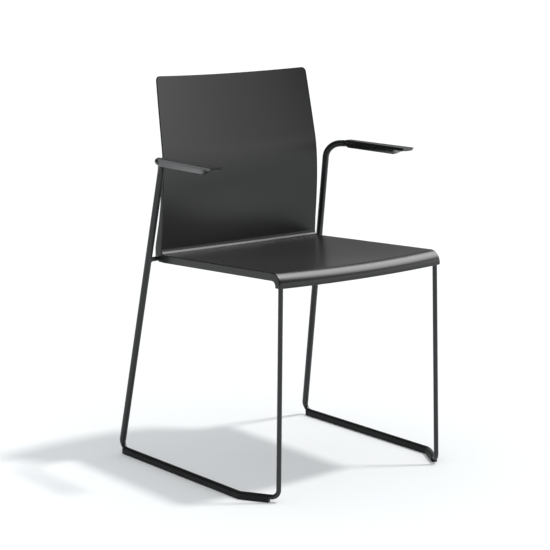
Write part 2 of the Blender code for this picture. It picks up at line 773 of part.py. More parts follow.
def rib(name, spots, thickness, root, depth):
    """A rib that is rooted in the seat's wall and whose lower edge runs parallel to it."""
    points = []
    for spot in spots:
        under = underside_height(spot.x, spot.y)
        for mirror in (-0.5, 0.5):
            at = spot + thickness * mirror
            points.append((at.x, at.y, under + root))
            points.append((at.x, at.y, under - depth))
    faces = []
    for index in range(len(spots) - 1):
        first = index * 4
        for left, right in ((0, 1), (1, 3), (3, 2), (2, 0)):
            faces.append([first + left, first + right, first + right + 4, first + left + 4])
    last = (len(spots) - 1) * 4
    faces.append([0, 1, 3, 2])
    faces.append([last, last + 1, last + 3, last + 2])
    return as_helper(add_object(name, mesh_from(points, faces)))


def fixing_places():
    return (("front", SEAT_FRONT_Y + FIXING_FRONT_INSET), ("rear", BACK_FOOT_Y - FIXING_REAR_INSET))


def rail_at(y):
    """The rail's axis under the seat's left edge."""
    front = front_leg_top()
    rear = rear_rail_end()
    return Vector((blend(front.x, rear.x, (y - front.y) / (rear.y - front.y)), y, rail_height(y)))


def fixing_matrix(y, side):
    """Origin level with the rail's axis at the screw, local Y along the sloping rail."""
    rail = rail_at(y)
    at = Vector((side * (rail.x - FIXING_FROM_RAIL), y, rail.z))
    return Matrix.Translation(at) @ Matrix.Rotation(-SEAT_ANGLE, 4, "X")


def add_boss(shell, place, y, side):
    name = f"{place}_{'left' if side > 0 else 'right'}_boss"
    matrix = fixing_matrix(y, side)
    lug_top = -(RUNNER_RADIUS + SEAT_GAP)
    foot = lug_top + SEAT_GAP
    at = matrix.translation
    top = (matrix.inverted() @ Vector((at.x, y, underside_height(at.x, y)))).z
    solid = rod_mesh(BOSS_RADIUS, (0.0, 0.0, foot), (0.0, 0.0, top + SEAT_WALL * 0.5), 16)
    solid.transform(matrix)
    use_boolean(shell, as_helper(add_object(name, solid)), "UNION", "MANIFOLD")
    start = (0.0, 0.0, foot - CUT_MARGIN)
    hole = rod_mesh(SHELL_SCREW_RADIUS + SEAT_GAP, start, (0.0, 0.0, top + SEAT_WALL - BOSS_SKIN), 12)
    hole.transform(matrix)
    use_boolean(shell, as_helper(add_object(name + "_hole", hole)), "DIFFERENCE", "MANIFOLD")


def fixing_lug(name, y, side, material):
    """A steel tongue under the rail, round at its inner end, with the screw's hole."""
    outer = FIXING_FROM_RAIL
    top = -(RUNNER_RADIUS + SEAT_GAP)
    outline = [(outer, -LUG_HALF_WIDTH), (outer, LUG_HALF_WIDTH)]
    arc_steps = 8
    for step in range(arc_steps + 1):
        angle = math.pi / 2.0 + math.pi * step / arc_steps
        outline.append((LUG_HALF_WIDTH * math.cos(angle), LUG_HALF_WIDTH * math.sin(angle)))
    count = len(outline)
    points = [(side * x, y_local, top) for x, y_local in outline]
    points += [(side * x, y_local, top - LUG_THICKNESS) for x, y_local in outline]
    faces = [list(range(count)), list(range(count, 2 * count))]
    for index in range(count):
        after = (index + 1) % count
        faces.append([index, after, count + after, count + index])
    mesh = mesh_from(points, faces)
    mesh.transform(fixing_matrix(y, side))
    lug = add_object(name, mesh, material)
    above = (0.0, 0.0, top + CUT_MARGIN)
    below = (0.0, 0.0, top - LUG_THICKNESS - CUT_MARGIN)
    hole = rod_mesh(SHELL_SCREW_RADIUS + SEAT_GAP * 2.0, above, below, 16)
    hole.transform(fixing_matrix(y, side))
    use_boolean(lug, as_helper(add_object(name + "_hole", hole)), "DIFFERENCE")
    return lug


def pan_head_screw(name, matrix, radius, head_radius, head, grip, material):
    """Pan-head screw along local Z: the head's seat is at 0 and the shank points up."""
    profile = (
        (0.0, -head),
        (head_radius * 0.55, -head * 0.94),
        (head_radius * 0.88, -head * 0.7),
        (head_radius, -head * 0.3),
        (head_radius, 0.0),
        (radius, 0.0),
        (radius, grip - radius),
        (radius * 0.4, grip),
        (0.0, grip),
    )
    mesh = lathe(profile)
    mesh.transform(matrix)
    return add_object(name, mesh, material, math.radians(35))


def pad_half_width(along):
    return blend(PAD_REAR_WIDTH, PAD_FRONT_WIDTH, along / PAD_LENGTH) / 2.0


def pad_keel_bottom():
    return ARM_HEIGHT - PAD_PLATE - PAD_KEEL_DEPTH


def pad_screw_foot(side, place):
    at = arm_line_at(place)
    return Vector((side * at.x, at.y, pad_keel_bottom() - CUT_MARGIN))


def pad_screw_seat(side, place):
    at = arm_line_at(place)
    return Vector((side * at.x, at.y, pad_keel_bottom() + PAD_SCREW_HEAD + SEAT_GAP * 2.0))


def pad_screw_tip(side, place):
    at = arm_line_at(place)
    return Vector((side * at.x, at.y, ARM_AXIS - SPIGOT_RADIUS + PAD_SCREW_BITE + SEAT_GAP * 2.0))


def armrest_pad(name, side, material):
    """A flat plate that widens forward, with a creased keel below it that takes the frame's spigot."""
    places = [0.0, PAD_TAIL_CORNER * 0.65, PAD_TAIL_CORNER * 1.65]
    places += steps_between(PAD_KEEL_TAIL, PAD_KEEL_FRONT, 3)
    places += [PAD_KEEL_FRONT + PAD_KEEL_NOSE * share for share in (0.35, 0.7, 1.0)]
    places += [PAD_LENGTH - PAD_CORNER * share for share in (1.0, 0.5, 0.15, 0.0)]
    points = []
    rings = []
    for along in places:
        tail_loss = corner_loss(along + PAD_TAIL_CORNER * 0.2, PAD_TAIL_CORNER)
        loss = tail_loss + corner_loss(PAD_LENGTH - along, PAD_CORNER)
        half = pad_half_width(along) - loss
        keel = PAD_KEEL_DEPTH - PAD_TAIL_LIFT * (1.0 - min(along / PAD_KEEL_TAIL, 1.0)) ** 2
        keel *= 1.0 - max(0.0, (along - PAD_KEEL_FRONT) / PAD_KEEL_NOSE)
        keel = max(keel, PAD_KEEL_LEAST)
        plate_bottom = ARM_HEIGHT - PAD_PLATE
        tip = (along / PAD_LENGTH) ** PAD_NOSE_POWER
        foot = PAD_KEEL_WIDTH / 2.0
        crease = blend(half - PAD_LEDGE, foot, PAD_CREASE_ACROSS)
        section = [
            (half - PAD_EDGE_ROUND, ARM_HEIGHT, 0.0),
            (half - PAD_EDGE_ROUND * 0.3, ARM_HEIGHT - PAD_EDGE_ROUND * 0.3, 0.0),
            (half, ARM_HEIGHT - PAD_EDGE_ROUND, 0.1),
            (half, plate_bottom + PAD_EDGE_ROUND * 0.6, 1.0),
            (half - PAD_LEDGE, plate_bottom, 1.0),
            (crease, plate_bottom - keel * PAD_CREASE_DOWN, 1.0),
            (foot, plate_bottom - keel, 1.0),
        ]
        ring = []
        for mirror in (1.0, -1.0):
            rows = section if mirror > 0.0 else list(reversed(section))
            for x, z, under in rows:
                back = PAD_NOSE_UNDERCUT * tip * under
                line = arm_line_at(along - back)
                ring.append(len(points))
                points.append((side * (line.x + mirror * x), line.y, z))
        rings.append(ring)
    faces = []
    size = len(rings[0])
    for low, high in zip(rings, rings[1:]):
        for index in range(size):
            after = (index + 1) % size
            faces.append([low[index], low[after], high[after], high[index]])
    for ring in (rings[0], rings[-1]):
        for index in range(size // 2 - 1):
            faces.append([ring[index], ring[index + 1], ring[size - 2 - index], ring[size - 1 - index]])
    pad = add_object(name, mesh_from(points, faces), material, math.radians(30))
    mouth = arm_line_at(-LEG_RADIUS)
    floor = arm_line_at(SPIGOT_LENGTH + SEAT_GAP * 2.0)
    mirror = Vector((side, 1.0, 1.0))
    bore = rod_mesh(SPIGOT_RADIUS + SEAT_GAP, mouth * mirror, floor * mirror, 20)
    use_boolean(pad, as_helper(add_object(name + "_bore", bore)), "DIFFERENCE")
    for number, place in enumerate(PAD_SCREW_PLACES):
        foot = pad_screw_foot(side, place)
        seat = pad_screw_seat(side, place)
        pocket = rod_mesh(PAD_SCREW_HEAD_RADIUS + SEAT_GAP, foot, seat, 20)
        use_boolean(pad, as_helper(add_object(f"{name}_pocket_{number}", pocket)), "DIFFERENCE")
        middle = Vector((foot.x, foot.y, ARM_AXIS))
        way = rod_mesh(PAD_SCREW_RADIUS + SEAT_GAP * 1.5, foot, middle, 16)
        use_boolean(pad, as_helper(add_object(f"{name}_way_{number}", way)), "DIFFERENCE")
    return pad


def runner_glide(name, side, material):
    """A snap-on profile below the runner: flat foot, chamfered edges and a round groove past its middle."""
    rear, kink, front = floor_corners()
    start = rear + (kink - rear).normalized() * GLIDE_REAR_INSET
    end = front + (kink - front).normalized() * GLIDE_FRONT_INSET
    path = bent_path([start, kink, end], [KINK_BEND])
    groove = RUNNER_RADIUS + SEAT_GAP
    half = groove + GLIDE_WALL
    top = RUNNER_AXIS + GLIDE_LIP
    above = math.asin(GLIDE_LIP / groove)
    profile = [
        (-half + GLIDE_CHAMFER, 0.0),
        (half - GLIDE_CHAMFER, 0.0),
        (half, GLIDE_CHAMFER),
        (half, top - GLIDE_WALL * 0.4),
        (half - GLIDE_WALL * 0.4, top),
    ]
    groove_steps = 10
    for step in range(groove_steps + 1):
        angle = blend(above, -math.pi - above, step / groove_steps)
        profile.append((groove * math.cos(angle), RUNNER_AXIS + groove * math.sin(angle)))
    profile.append((-half + GLIDE_WALL * 0.4, top))
    profile.append((-half, top - GLIDE_WALL * 0.4))
    profile.append((-half, GLIDE_CHAMFER))
    points = []
    rings = []
    for index, at in enumerate(path):
        before = path[max(index - 1, 0)]
        after = path[min(index + 1, len(path) - 1)]
        along = (after - before).normalized()
        outward = Vector((-along.y, along.x, 0.0))
        rings.append([len(points) + number for number in range(len(profile))])
        for offset, height in profile:
            place = at + outward * offset
            points.append((side * place.x, place.y, height))
    faces = []
    size = len(profile)
    for low, high in zip(rings, rings[1:]):
        for index in range(size):
            after = (index + 1) % size
            faces.append([low[index], low[after], high[after], high[index]])
    for ring in (rings[0], rings[-1]):
        faces.append(list(ring))
    return add_object(name, mesh_from(points, faces), material, math.radians(35))


def build_chair():
    clear_scene()
    shell_plastic = make_material("shell_plastic", (0.035, 0.035, 0.034), 0.42)
    pad_plastic = make_material("pad_plastic", (0.028, 0.028, 0.029), 0.38)
    glide_plastic = make_material("glide_plastic", (0.012, 0.012, 0.013), 0.5)
    frame_coat = make_material("frame_coat", (0.040, 0.041, 0.041), 0.36)
    zinc = make_material("screw_zinc", (0.55, 0.55, 0.53), 0.32, 1.0)
    seat_shell(shell_plastic)
    for side, word in ((1, "left"), (-1, "right")):
        side_frame(f"{word}_side_frame", side, frame_coat)
        armrest_pad(f"{word}_armrest_pad", side, pad_plastic)
        runner_glide(f"{word}_runner_glide", side, glide_plastic)
        for place, y in fixing_places():
            fixing_lug(f"{place}_{word}_lug", y, side, frame_coat)
            under_lug = Matrix.Translation((0.0, 0.0, -(RUNNER_RADIUS + SEAT_GAP * 2.0 + LUG_THICKNESS)))
            matrix = fixing_matrix(y, side) @ under_lug
            pan_head_screw(f"{place}_{word}_shell_screw", matrix, SHELL_SCREW_RADIUS, SHELL_SCREW_HEAD_RADIUS,
                           SHELL_SCREW_HEAD, LUG_THICKNESS + SHELL_SCREW_GRIP, zinc)
        for place, label in zip(PAD_SCREW_PLACES, ("rear", "front")):
            seat = pad_screw_seat(side, place) - Vector((0.0, 0.0, SEAT_GAP))
            grip = ARM_AXIS - SPIGOT_RADIUS + PAD_SCREW_BITE - seat.z
            pan_head_screw(f"{word}_pad_{label}_screw", Matrix.Translation(seat), PAD_SCREW_RADIUS,
                           PAD_SCREW_HEAD_RADIUS, PAD_SCREW_HEAD, grip, zinc)
    leg_copes = [leg_cope(1), leg_cope(-1)]
    cross_bar("rear_cross_bar", rear_bar_end, leg_copes, frame_coat, "MANIFOLD")
    bend_copes = [front_leg_cope(1), front_leg_cope(-1)]
    cross_bar("front_cross_bar", front_bar_end, bend_copes, frame_coat, "EXACT")


build_chair()
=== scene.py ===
# %% [markdown]
# # A stacking armchair on a bent steel sled
#
# The chair is a one-piece moulded shell of dark plastic. It sits over two bent steel side frames that run
# along the floor like sled runners. Moulded pads slide over the ends of the arms.
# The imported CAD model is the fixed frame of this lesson. Every piece that is made here lies where the CAD
# solid lies, so nothing has to be fitted by eye.

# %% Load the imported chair
import json
import math

import bmesh
import bpy
from mathutils import Matrix, Vector


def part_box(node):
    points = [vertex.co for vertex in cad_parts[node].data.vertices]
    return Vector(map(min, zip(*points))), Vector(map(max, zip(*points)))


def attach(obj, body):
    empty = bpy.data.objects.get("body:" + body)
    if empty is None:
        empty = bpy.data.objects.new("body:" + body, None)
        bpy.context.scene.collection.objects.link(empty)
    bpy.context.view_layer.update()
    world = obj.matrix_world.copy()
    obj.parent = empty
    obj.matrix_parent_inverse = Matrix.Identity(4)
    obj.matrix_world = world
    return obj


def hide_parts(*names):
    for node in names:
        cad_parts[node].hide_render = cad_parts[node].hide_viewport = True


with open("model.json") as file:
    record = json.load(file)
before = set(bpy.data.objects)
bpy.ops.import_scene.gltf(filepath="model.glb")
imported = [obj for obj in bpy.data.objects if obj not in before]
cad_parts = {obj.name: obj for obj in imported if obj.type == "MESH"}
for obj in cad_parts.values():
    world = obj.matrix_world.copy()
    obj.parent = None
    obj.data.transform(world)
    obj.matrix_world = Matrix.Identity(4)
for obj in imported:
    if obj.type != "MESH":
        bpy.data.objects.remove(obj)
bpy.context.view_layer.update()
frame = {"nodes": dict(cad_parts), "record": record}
chair = frame["nodes"]

# %% [markdown]
# ## The camera
#
# A long lens from a little above the backrest keeps the runners almost parallel, as in a catalogue picture.
# The place, the turn and the lens were solved from known points of the chair, so they are plain numbers.

# %% Camera
CAMERA_PLACE = (-2.4360, -3.0254, 1.1448)
CAMERA_TILT = math.radians(79.119)
CAMERA_TURN = math.radians(-38.459)
CAMERA_LENS = 123.07
SENSOR_WIDTH = 36.0

camera_data = bpy.data.cameras.new("catalogue_camera")
camera_data.lens = CAMERA_LENS
camera_data.sensor_width = SENSOR_WIDTH
camera = bpy.data.objects.new("catalogue_camera", camera_data)
camera.location = CAMERA_PLACE
camera.rotation_euler = (CAMERA_TILT, 0.0, CAMERA_TURN)
bpy.context.scene.collection.objects.link(camera)
bpy.context.scene.camera = camera
bpy.context.scene.view_settings.view_transform = "Standard"
print("camera looks from", [round(value, 3) for value in camera.location])

# %% [markdown]
# ## Steps for shader trees
#
# The studio and the finishes are built from the same few steps: a sum, a change of range, a noise and a mix.
# Each helper takes a number or the socket of an earlier step, which keeps the later cells short.

# %% Shader steps
WHITE = (1.0, 1.0, 1.0, 1.0)
UP = Vector((0.0, 0.0, 1.0))


def feed(tree, socket, value):
    """Links another node's output to an input, or sets a plain value on it."""
    if hasattr(value, "node"):
        tree.links.new(value, socket)
    else:
        socket.default_value = value


def math_step(tree, operation, *values):
    step = tree.nodes.new("ShaderNodeMath")
    step.operation = operation
    for socket, value in zip(step.inputs, values):
        feed(tree, socket, value)
    return step.outputs[0]


def facing(tree, direction, axis):
    """How far a vector reaches along an axis."""
    along = tree.nodes.new("ShaderNodeVectorMath")
    along.operation = "DOT_PRODUCT"
    along.inputs[1].default_value = axis
    feed(tree, along.inputs[0], direction)
    return along.outputs["Value"]


def add_range(tree, value, limits, levels, change="LINEAR"):
    """Takes a value from two limits to two levels and holds it there."""
    spread = tree.nodes.new("ShaderNodeMapRange")
    spread.interpolation_type = change
    feed(tree, spread.inputs["Value"], value)
    for label, number in zip(("From Min", "From Max", "To Min", "To Max"), (*limits, *levels)):
        spread.inputs[label].default_value = number
    return spread.outputs["Result"]


def add_noise(tree, place, scale, detail, roughness):
    noise = tree.nodes.new("ShaderNodeTexNoise")
    for label, value in (("Vector", place), ("Scale", scale), ("Detail", detail), ("Roughness", roughness)):
        feed(tree, noise.inputs[label], value)
    return noise.outputs["Fac"]


def glow(tree, kind, colour, strength):
    """A background or an emission; its strength may come from a socket."""
    shader = tree.nodes.new(kind)
    shader.inputs["Color"].default_value = colour
    feed(tree, shader.inputs["Strength"], strength)
    return shader.outputs[0]


def mixed(tree, share, first, second):
    """Two shaders, mixed by a share."""
    mix = tree.nodes.new("ShaderNodeMixShader")
    for socket, value in zip(mix.inputs, (share, first, second)):
        feed(tree, socket, value)
    return mix.outputs[0]


def shown_white(tree, plain, lifted):
    """Only the camera, reflections and clear plastics meet the second shader."""
    paths = tree.nodes.new("ShaderNodeLightPath").outputs
    seen = math_step(tree, "MAXIMUM", paths["Is Camera Ray"], paths["Is Glossy Ray"])
    seen = math_step(tree, "MAXIMUM", seen, paths["Is Transmission Ray"])
    return mixed(tree, seen, plain, lifted)


print("shader steps ready")

# %% [markdown]
# ## The studio
#
# A white floor, an even pale surround and one high lamp are enough. The lamp is a sun with a soft edge, so
# the floor is lit evenly right to the horizon and the seat throws one soft shadow.
# The floor adds a little light of its own to what the camera and the reflections see. That makes it plain
# white without any more light on the chair.

# %% Floor and sun
FLOOR_REACH = 30.0
FLOOR_COLOUR = (0.86, 0.865, 0.87, 1.0)
FLOOR_LIFT = 0.05
SUN_STRENGTH = 1.35
SUN_EDGE = math.radians(5.5)
SUN_FROM = Vector((0.365, -0.242, 1.0))


def studio_floor():
    """A wide plane at the foot of the runners."""
    mesh = bpy.data.meshes.new("studio_floor")
    corners = [(x * FLOOR_REACH, y * FLOOR_REACH, 0.0) for x, y in ((-1, -1), (1, -1), (1, 1), (-1, 1))]
    mesh.from_pydata(corners, [], [(0, 1, 2, 3)])
    floor = bpy.data.objects.new("studio_floor", mesh)
    bpy.context.scene.collection.objects.link(floor)
    material = bpy.data.materials.new("studio_floor")
    material.use_nodes = True
    tree = material.node_tree
    tree.nodes.clear()
    paper = tree.nodes.new("ShaderNodeBsdfDiffuse")
    paper.inputs["Color"].default_value = FLOOR_COLOUR
    lifted = tree.nodes.new("ShaderNodeAddShader")
    feed(tree, lifted.inputs[0], paper.outputs[0])
    feed(tree, lifted.inputs[1], glow(tree, "ShaderNodeEmission", WHITE, FLOOR_LIFT))
    out = tree.nodes.new("ShaderNodeOutputMaterial")
    feed(tree, out.inputs["Surface"], shown_white(tree, paper.outputs[0], lifted.outputs[0]))
    mesh.materials.append(material)


def studio_sun():
    """One high lamp from the sitter's front left."""
    lamp = bpy.data.lights.new("studio_sun", "SUN")
    lamp.energy = SUN_STRENGTH
    lamp.angle = SUN_EDGE
    sun = bpy.data.objects.new("studio_sun", lamp)
    sun.rotation_euler = SUN_FROM.to_track_quat("Z", "Y").to_euler()
    bpy.context.scene.collection.objects.link(sun)


studio_floor()
studio_sun()
print("floor and sun ready")

# %% [markdown]
# ### What the chair mirrors
#
# Dark plastic is drawn almost only by its reflections, so the studio's walls matter more than its lamp. They
# are white up to the horizon and dim above it. On one side the white reaches higher and is brighter. A far
# wall glows faintly, and a bright screen high on the right draws the lines of light along the bend and the
# lip.
# Only reflections meet these walls: the camera sees plain white, and an even surround lights the chair.

# %% Surround and walls
SURROUND_LIGHT = 0.80
SURROUND_COLOUR = (0.955, 0.985, 1.0, 1.0)
WALL_FADE = (-0.04, 0.02)
CEILING = 0.04
WHITE_SIDE_RISE = 0.32
WHITE_SIDE_GAIN = 0.70
FAR_WALL_GLOW = 0.23
SCREEN_BRIGHT = 7.2
# Each patch has the direction of its middle and the half angles of its even core and of its soft edge.
WHITE_SIDE = (Vector((0.80, -0.60, 0.0)), math.radians(31.0), math.radians(54.0))
FAR_WALL = (Vector((0.62, 0.77, 0.17)), math.radians(20.0), math.radians(45.0))
SCREEN = (Vector((0.61, -0.11, 0.78)), math.radians(17.0), math.radians(34.0))


def patch(tree, direction, place, level):
    """A round patch of the surround: even over its core, nothing beyond its edge."""
    middle, core, edge = place
    limits = (math.cos(edge), math.cos(core))
    return add_range(tree, facing(tree, direction, middle.normalized()), limits, (0.0, level), "SMOOTHSTEP")


def studio_walls(tree):
    """The walls for reflections, and plain white for everything else that sees them."""
    direction = tree.nodes.new("ShaderNodeTexCoord").outputs["Generated"]
    side = patch(tree, direction, WHITE_SIDE, 1.0)
    level = math_step(tree, "MULTIPLY_ADD", side, -WHITE_SIDE_RISE, facing(tree, direction, UP))
    wall = add_range(tree, level, WALL_FADE, (1.0, CEILING), "SMOOTHSTEP")
    gained = math_step(tree, "MULTIPLY", wall, math_step(tree, "MULTIPLY_ADD", side, WHITE_SIDE_GAIN, 1.0))
    screen = patch(tree, direction, SCREEN, SCREEN_BRIGHT)
    lit = math_step(tree, "ADD", screen, patch(tree, direction, FAR_WALL, FAR_WALL_GLOW))
    walls = glow(tree, "ShaderNodeBackground", WHITE, math_step(tree, "ADD", gained, lit))
    plain = glow(tree, "ShaderNodeBackground", WHITE, 1.0)
    paths = tree.nodes.new("ShaderNodeLightPath").outputs
    return mixed(tree, paths["Is Glossy Ray"], plain, walls)


surround = bpy.data.worlds.new("studio_surround")
surround.use_nodes = True
surround_tree = surround.node_tree
surround_tree.nodes.clear()
even_light = glow(surround_tree, "ShaderNodeBackground", SURROUND_COLOUR, SURROUND_LIGHT)
surround_out = surround_tree.nodes.new("ShaderNodeOutputWorld")
surround_light = shown_white(surround_tree, even_light, studio_walls(surround_tree))
feed(surround_tree, surround_out.inputs["Surface"], surround_light)
bpy.context.scene.world = surround
print("surround", len(surround_tree.nodes), "nodes")

# %% [markdown]
# ## Helpers for every piece
#
# Each piece is made from points and faces and then tied to the chair's one body. Normals are made to point
# outward, faces are shaded smooth, and edges sharper than a given angle stay crisp, as on a real moulding.

# %% Measuring helpers
SIDES = ((1, "left"), (-1, "right"))


def blend(first, last, share):
    return first + (last - first) * share


def smooth_step(value):
    held = min(max(value, 0.0), 1.0)
    return held * held * (3.0 - 2.0 * held)


def steps_between(first, last, count):
    return [blend(first, last, index / count) for index in range(count + 1)]


def read_table(table, rise):
    """The value of a (rise, value) table at a height, straight between its rows."""
    if rise <= table[0][0]:
        return table[0][1]
    for (low, first), (high, last) in zip(table, table[1:]):
        if rise <= high:
            return blend(first, last, (rise - low) / (high - low))
    return table[-1][1]


print("sides", SIDES)

# %% Piece helpers
SAME_POINT = 0.000005


def mesh_object(name, points, faces, masks=None):
    """A mesh object whose normals point outward; masks are values on its points."""
    mesh = bpy.data.meshes.new(name)
    mesh.from_pydata([tuple(point) for point in points], [], faces)
    for mask, values in (masks or {}).items():
        mesh.attributes.new(mask, "FLOAT", "POINT").data.foreach_set("value", values)
    shape = bmesh.new()
    shape.from_mesh(mesh)
    bmesh.ops.remove_doubles(shape, verts=shape.verts, dist=SAME_POINT)
    bmesh.ops.recalc_face_normals(shape, faces=shape.faces)
    shape.to_mesh(mesh)
    shape.free()
    made = bpy.data.objects.new(name, mesh)
    bpy.context.scene.collection.objects.link(made)
    return made


def shade(mesh, crisp):
    """Smooth faces, with edges sharper than an angle in degrees kept crisp."""
    mesh.shade_smooth()
    mesh.set_sharp_from_angle(angle=math.radians(crisp))


def chair_piece(name, points, faces, material, stands_for, crisp, masks=None):
    """Makes a piece, ties it to the chair and lets it stand for the CAD nodes that it details."""
    piece = mesh_object(name, points, faces, masks)
    shade(piece.data, crisp)
    piece.data.materials.append(material)
    piece.modifiers.new("even_shading", "WEIGHTED_NORMAL").keep_sharp = True
    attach(piece, "root")
    if stands_for:
        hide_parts(*stands_for)
    return piece


def cut_away(piece, points, faces):
    """Cuts a closed shape out of a piece for good; the cutter leaves no object behind."""
    cutter = mesh_object("cutter", points, faces)
    later = list(piece.modifiers)
    cut = piece.modifiers.new("cut", "BOOLEAN")
    cut.operation = "DIFFERENCE"
    cut.solver = "EXACT"
    cut.object = cutter
    for modifier in later:
        modifier.show_viewport = False
    bpy.context.view_layer.update()
    result = bpy.data.meshes.new_from_object(piece.evaluated_get(bpy.context.evaluated_depsgraph_get()))
    piece.modifiers.remove(cut)
    for modifier in later:
        modifier.show_viewport = True
    old = piece.data
    result.name = piece.name
    piece.data = result
    bpy.data.meshes.remove(old)
    cutter_mesh = cutter.data
    bpy.data.objects.remove(cutter, do_unlink=True)
    bpy.data.meshes.remove(cutter_mesh)


print("piece helpers ready")

# %% [markdown]
# ### Shapes from rings
#
# Almost every piece of the chair is a row of rings with faces between them. A bent bar has circles along its
# line, a screw has circles about its axis, and the shell has one ring round its wall at each station.

# %% Ring helpers
BEND_STEP = math.radians(3.5)
LEAST_BEND_STEPS = 3


def add_ring(points, rings, ring):
    """Adds one ring of points to a shape and notes their numbers."""
    rings.append(list(range(len(points), len(points) + len(ring))))
    points += ring


def ring_faces(rings, closed=False):
    """Quads between neighbouring rings of point numbers; each ring is a closed loop."""
    faces = []
    for low, high in zip(rings, rings[1:] + (rings[:1] if closed else [])):
        for index in range(len(low)):
            after = (index + 1) % len(low)
            faces.append([low[index], low[after], high[after], high[index]])
    return faces


def end_caps(rings):
    return [list(reversed(rings[0])), rings[-1]]


def circle(at, across, upright, radius, sides):
    """Points evenly round a place, in the plane of two unit vectors."""
    angles = [2.0 * math.pi * step / sides for step in range(sides)]
    return [at + (across * math.cos(angle) + upright * math.sin(angle)) * radius for angle in angles]


def swept_tube(path, radii, sides=28):
    """Points and faces of a round bar along a path, with one radius per point and no twist."""
    points = []
    rings = []
    across = None
    for index, at in enumerate(path):
        before = path[max(index - 1, 0)]
        after = path[min(index + 1, len(path) - 1)]
        along = (after - before).normalized()
        if across is None:
            across = along.orthogonal().normalized()
        across = (across - along * across.dot(along)).normalized()
        add_ring(points, rings, circle(at, across, along.cross(across), radii[index], sides))
    return points, ring_faces(rings) + end_caps(rings)


def bent_path(corners, bends):
    """Points along straight runs that are joined by round bends; bends holds one radius per inner corner."""
    points = [corners[0]]
    for before, corner, after, radius in zip(corners, corners[1:], corners[2:], bends):
        back = (before - corner).normalized()
        ahead = (after - corner).normalized()
        turn = math.pi - back.angle(ahead)
        start = corner + back * (radius * math.tan(turn / 2.0))
        centre = corner + (back + ahead).normalized() * (radius / math.cos(turn / 2.0))
        axis = back.cross(start - centre).normalized()
        steps = max(LEAST_BEND_STEPS, math.ceil(turn / BEND_STEP))
        for swing in steps_between(0.0, turn, steps):
            points.append(centre + Matrix.Rotation(swing, 3, axis) @ (start - centre))
    points.append(corners[-1])
    return points


def turned(profile, sides):
    """A turned shape about Z from (radius, height) pairs; a pair on the axis closes it."""
    east = Vector((1.0, 0.0, 0.0))
    north = Vector((0.0, 1.0, 0.0))
    points = []
    rings = []
    for radius, height in profile:
        centre = Vector((0.0, 0.0, height))
        if radius == 0.0:
            rings.append([len(points)] * sides)
            points.append(centre)
        else:
            add_ring(points, rings, circle(centre, east, north, radius, sides))
    return points, [list(dict.fromkeys(face)) for face in ring_faces(rings)]


def prism(outline, place_point):
    """Points and faces between two copies of an outline; place_point(end, a, b) gives each point."""
    points = []
    rings = []
    for end in (0, 1):
        add_ring(points, rings, [place_point(end, a, b) for a, b in outline])
    return points, ring_faces(rings) + end_caps(rings)


def joined(parts):
    """Several (points, faces) pairs as one."""
    points = []
    faces = []
    for more_points, more_faces in parts:
        first = len(points)
        points += list(more_points)
        faces += [[first + index for index in face] for face in more_faces]
    return points, faces


print("ring helpers ready")

# %% [markdown]
# ## Effects that several finishes share
#
# A moulded surface, a powder coat and a zinc plate look different mostly in their fine relief and in how
# evenly they shine. Each effect is one node group with named inputs, so every finish can place it with
# values of its own. A group only puts out masks, values and heights; the shader stays in the finish itself.
# All of them read object coordinates, which are metres on the chair, so a grain has its real size.

# %% Node group helpers
NOISE_SPAN = (0.3, 0.7)


def new_group(name, inputs, outputs):
    """An empty shader node group with float inputs and outputs; returns the tree and its two end nodes."""
    tree = bpy.data.node_groups.new(name, "ShaderNodeTree")
    for label, value in inputs:
        socket = tree.interface.new_socket(label, in_out="INPUT", socket_type="NodeSocketFloat")
        socket.default_value = value
    for label in outputs:
        tree.interface.new_socket(label, in_out="OUTPUT", socket_type="NodeSocketFloat")
    return tree, tree.nodes.new("NodeGroupInput").outputs, tree.nodes.new("NodeGroupOutput").inputs


def chair_place(tree):
    return tree.nodes.new("ShaderNodeTexCoord").outputs["Object"]


def drifting_roughness(tree, start, noise):
    """The group's roughness, moved up and down by a slow noise."""
    drift = add_range(tree, noise, NOISE_SPAN, (-1.0, 1.0))
    return math_step(tree, "MULTIPLY_ADD", drift, start["Roughness drift"], start["Roughness"])


print("noise span", NOISE_SPAN)

# %% [markdown]
# ### Moulded grain
#
# A fine spark-eroded mould leaves a texture of rounded bumps a third of a millimetre wide. Over a whole seat
# the shine also drifts a little, from the way the plastic filled the mould. Voronoi cells blurred with noise
# give the bumps, and a second, slow noise gives the drift.

# %% Group: moulded grain
GRAIN_SOFTNESS = 0.8
FLOWS_PER_METRE = 5.0


def moulded_grain_group():
    tree, start, end = new_group(
        "moulded_grain",
        [("Grains per metre", 2600.0), ("Roughness", 0.35), ("Roughness drift", 0.03)],
        ["Height", "Roughness", "Flow"])
    place = chair_place(tree)
    cells = tree.nodes.new("ShaderNodeTexVoronoi")
    cells.feature = "SMOOTH_F1"
    cells.inputs["Smoothness"].default_value = GRAIN_SOFTNESS
    feed(tree, cells.inputs["Vector"], place)
    feed(tree, cells.inputs["Scale"], start["Grains per metre"])
    fine = add_noise(tree, place, start["Grains per metre"], detail=3.0, roughness=0.6)
    slow = add_noise(tree, place, FLOWS_PER_METRE, detail=2.0, roughness=0.55)
    feed(tree, end["Height"], math_step(tree, "MULTIPLY", cells.outputs["Distance"], fine))
    feed(tree, end["Roughness"], drifting_roughness(tree, start, slow))
    feed(tree, end["Flow"], add_range(tree, slow, NOISE_SPAN, (0.0, 1.0)))
    return tree


moulded_grain = moulded_grain_group()
print("group", moulded_grain.name)

# %% [markdown]
# ### Powder coat
#
# Powder paint melts into a skin with a faint orange peel, a few millimetres from bump to bump, and carries
# tiny nibs of dust. Its shine breaks up in a coarser pattern than the plastic's, so the two materials of the
# chair shine differently.

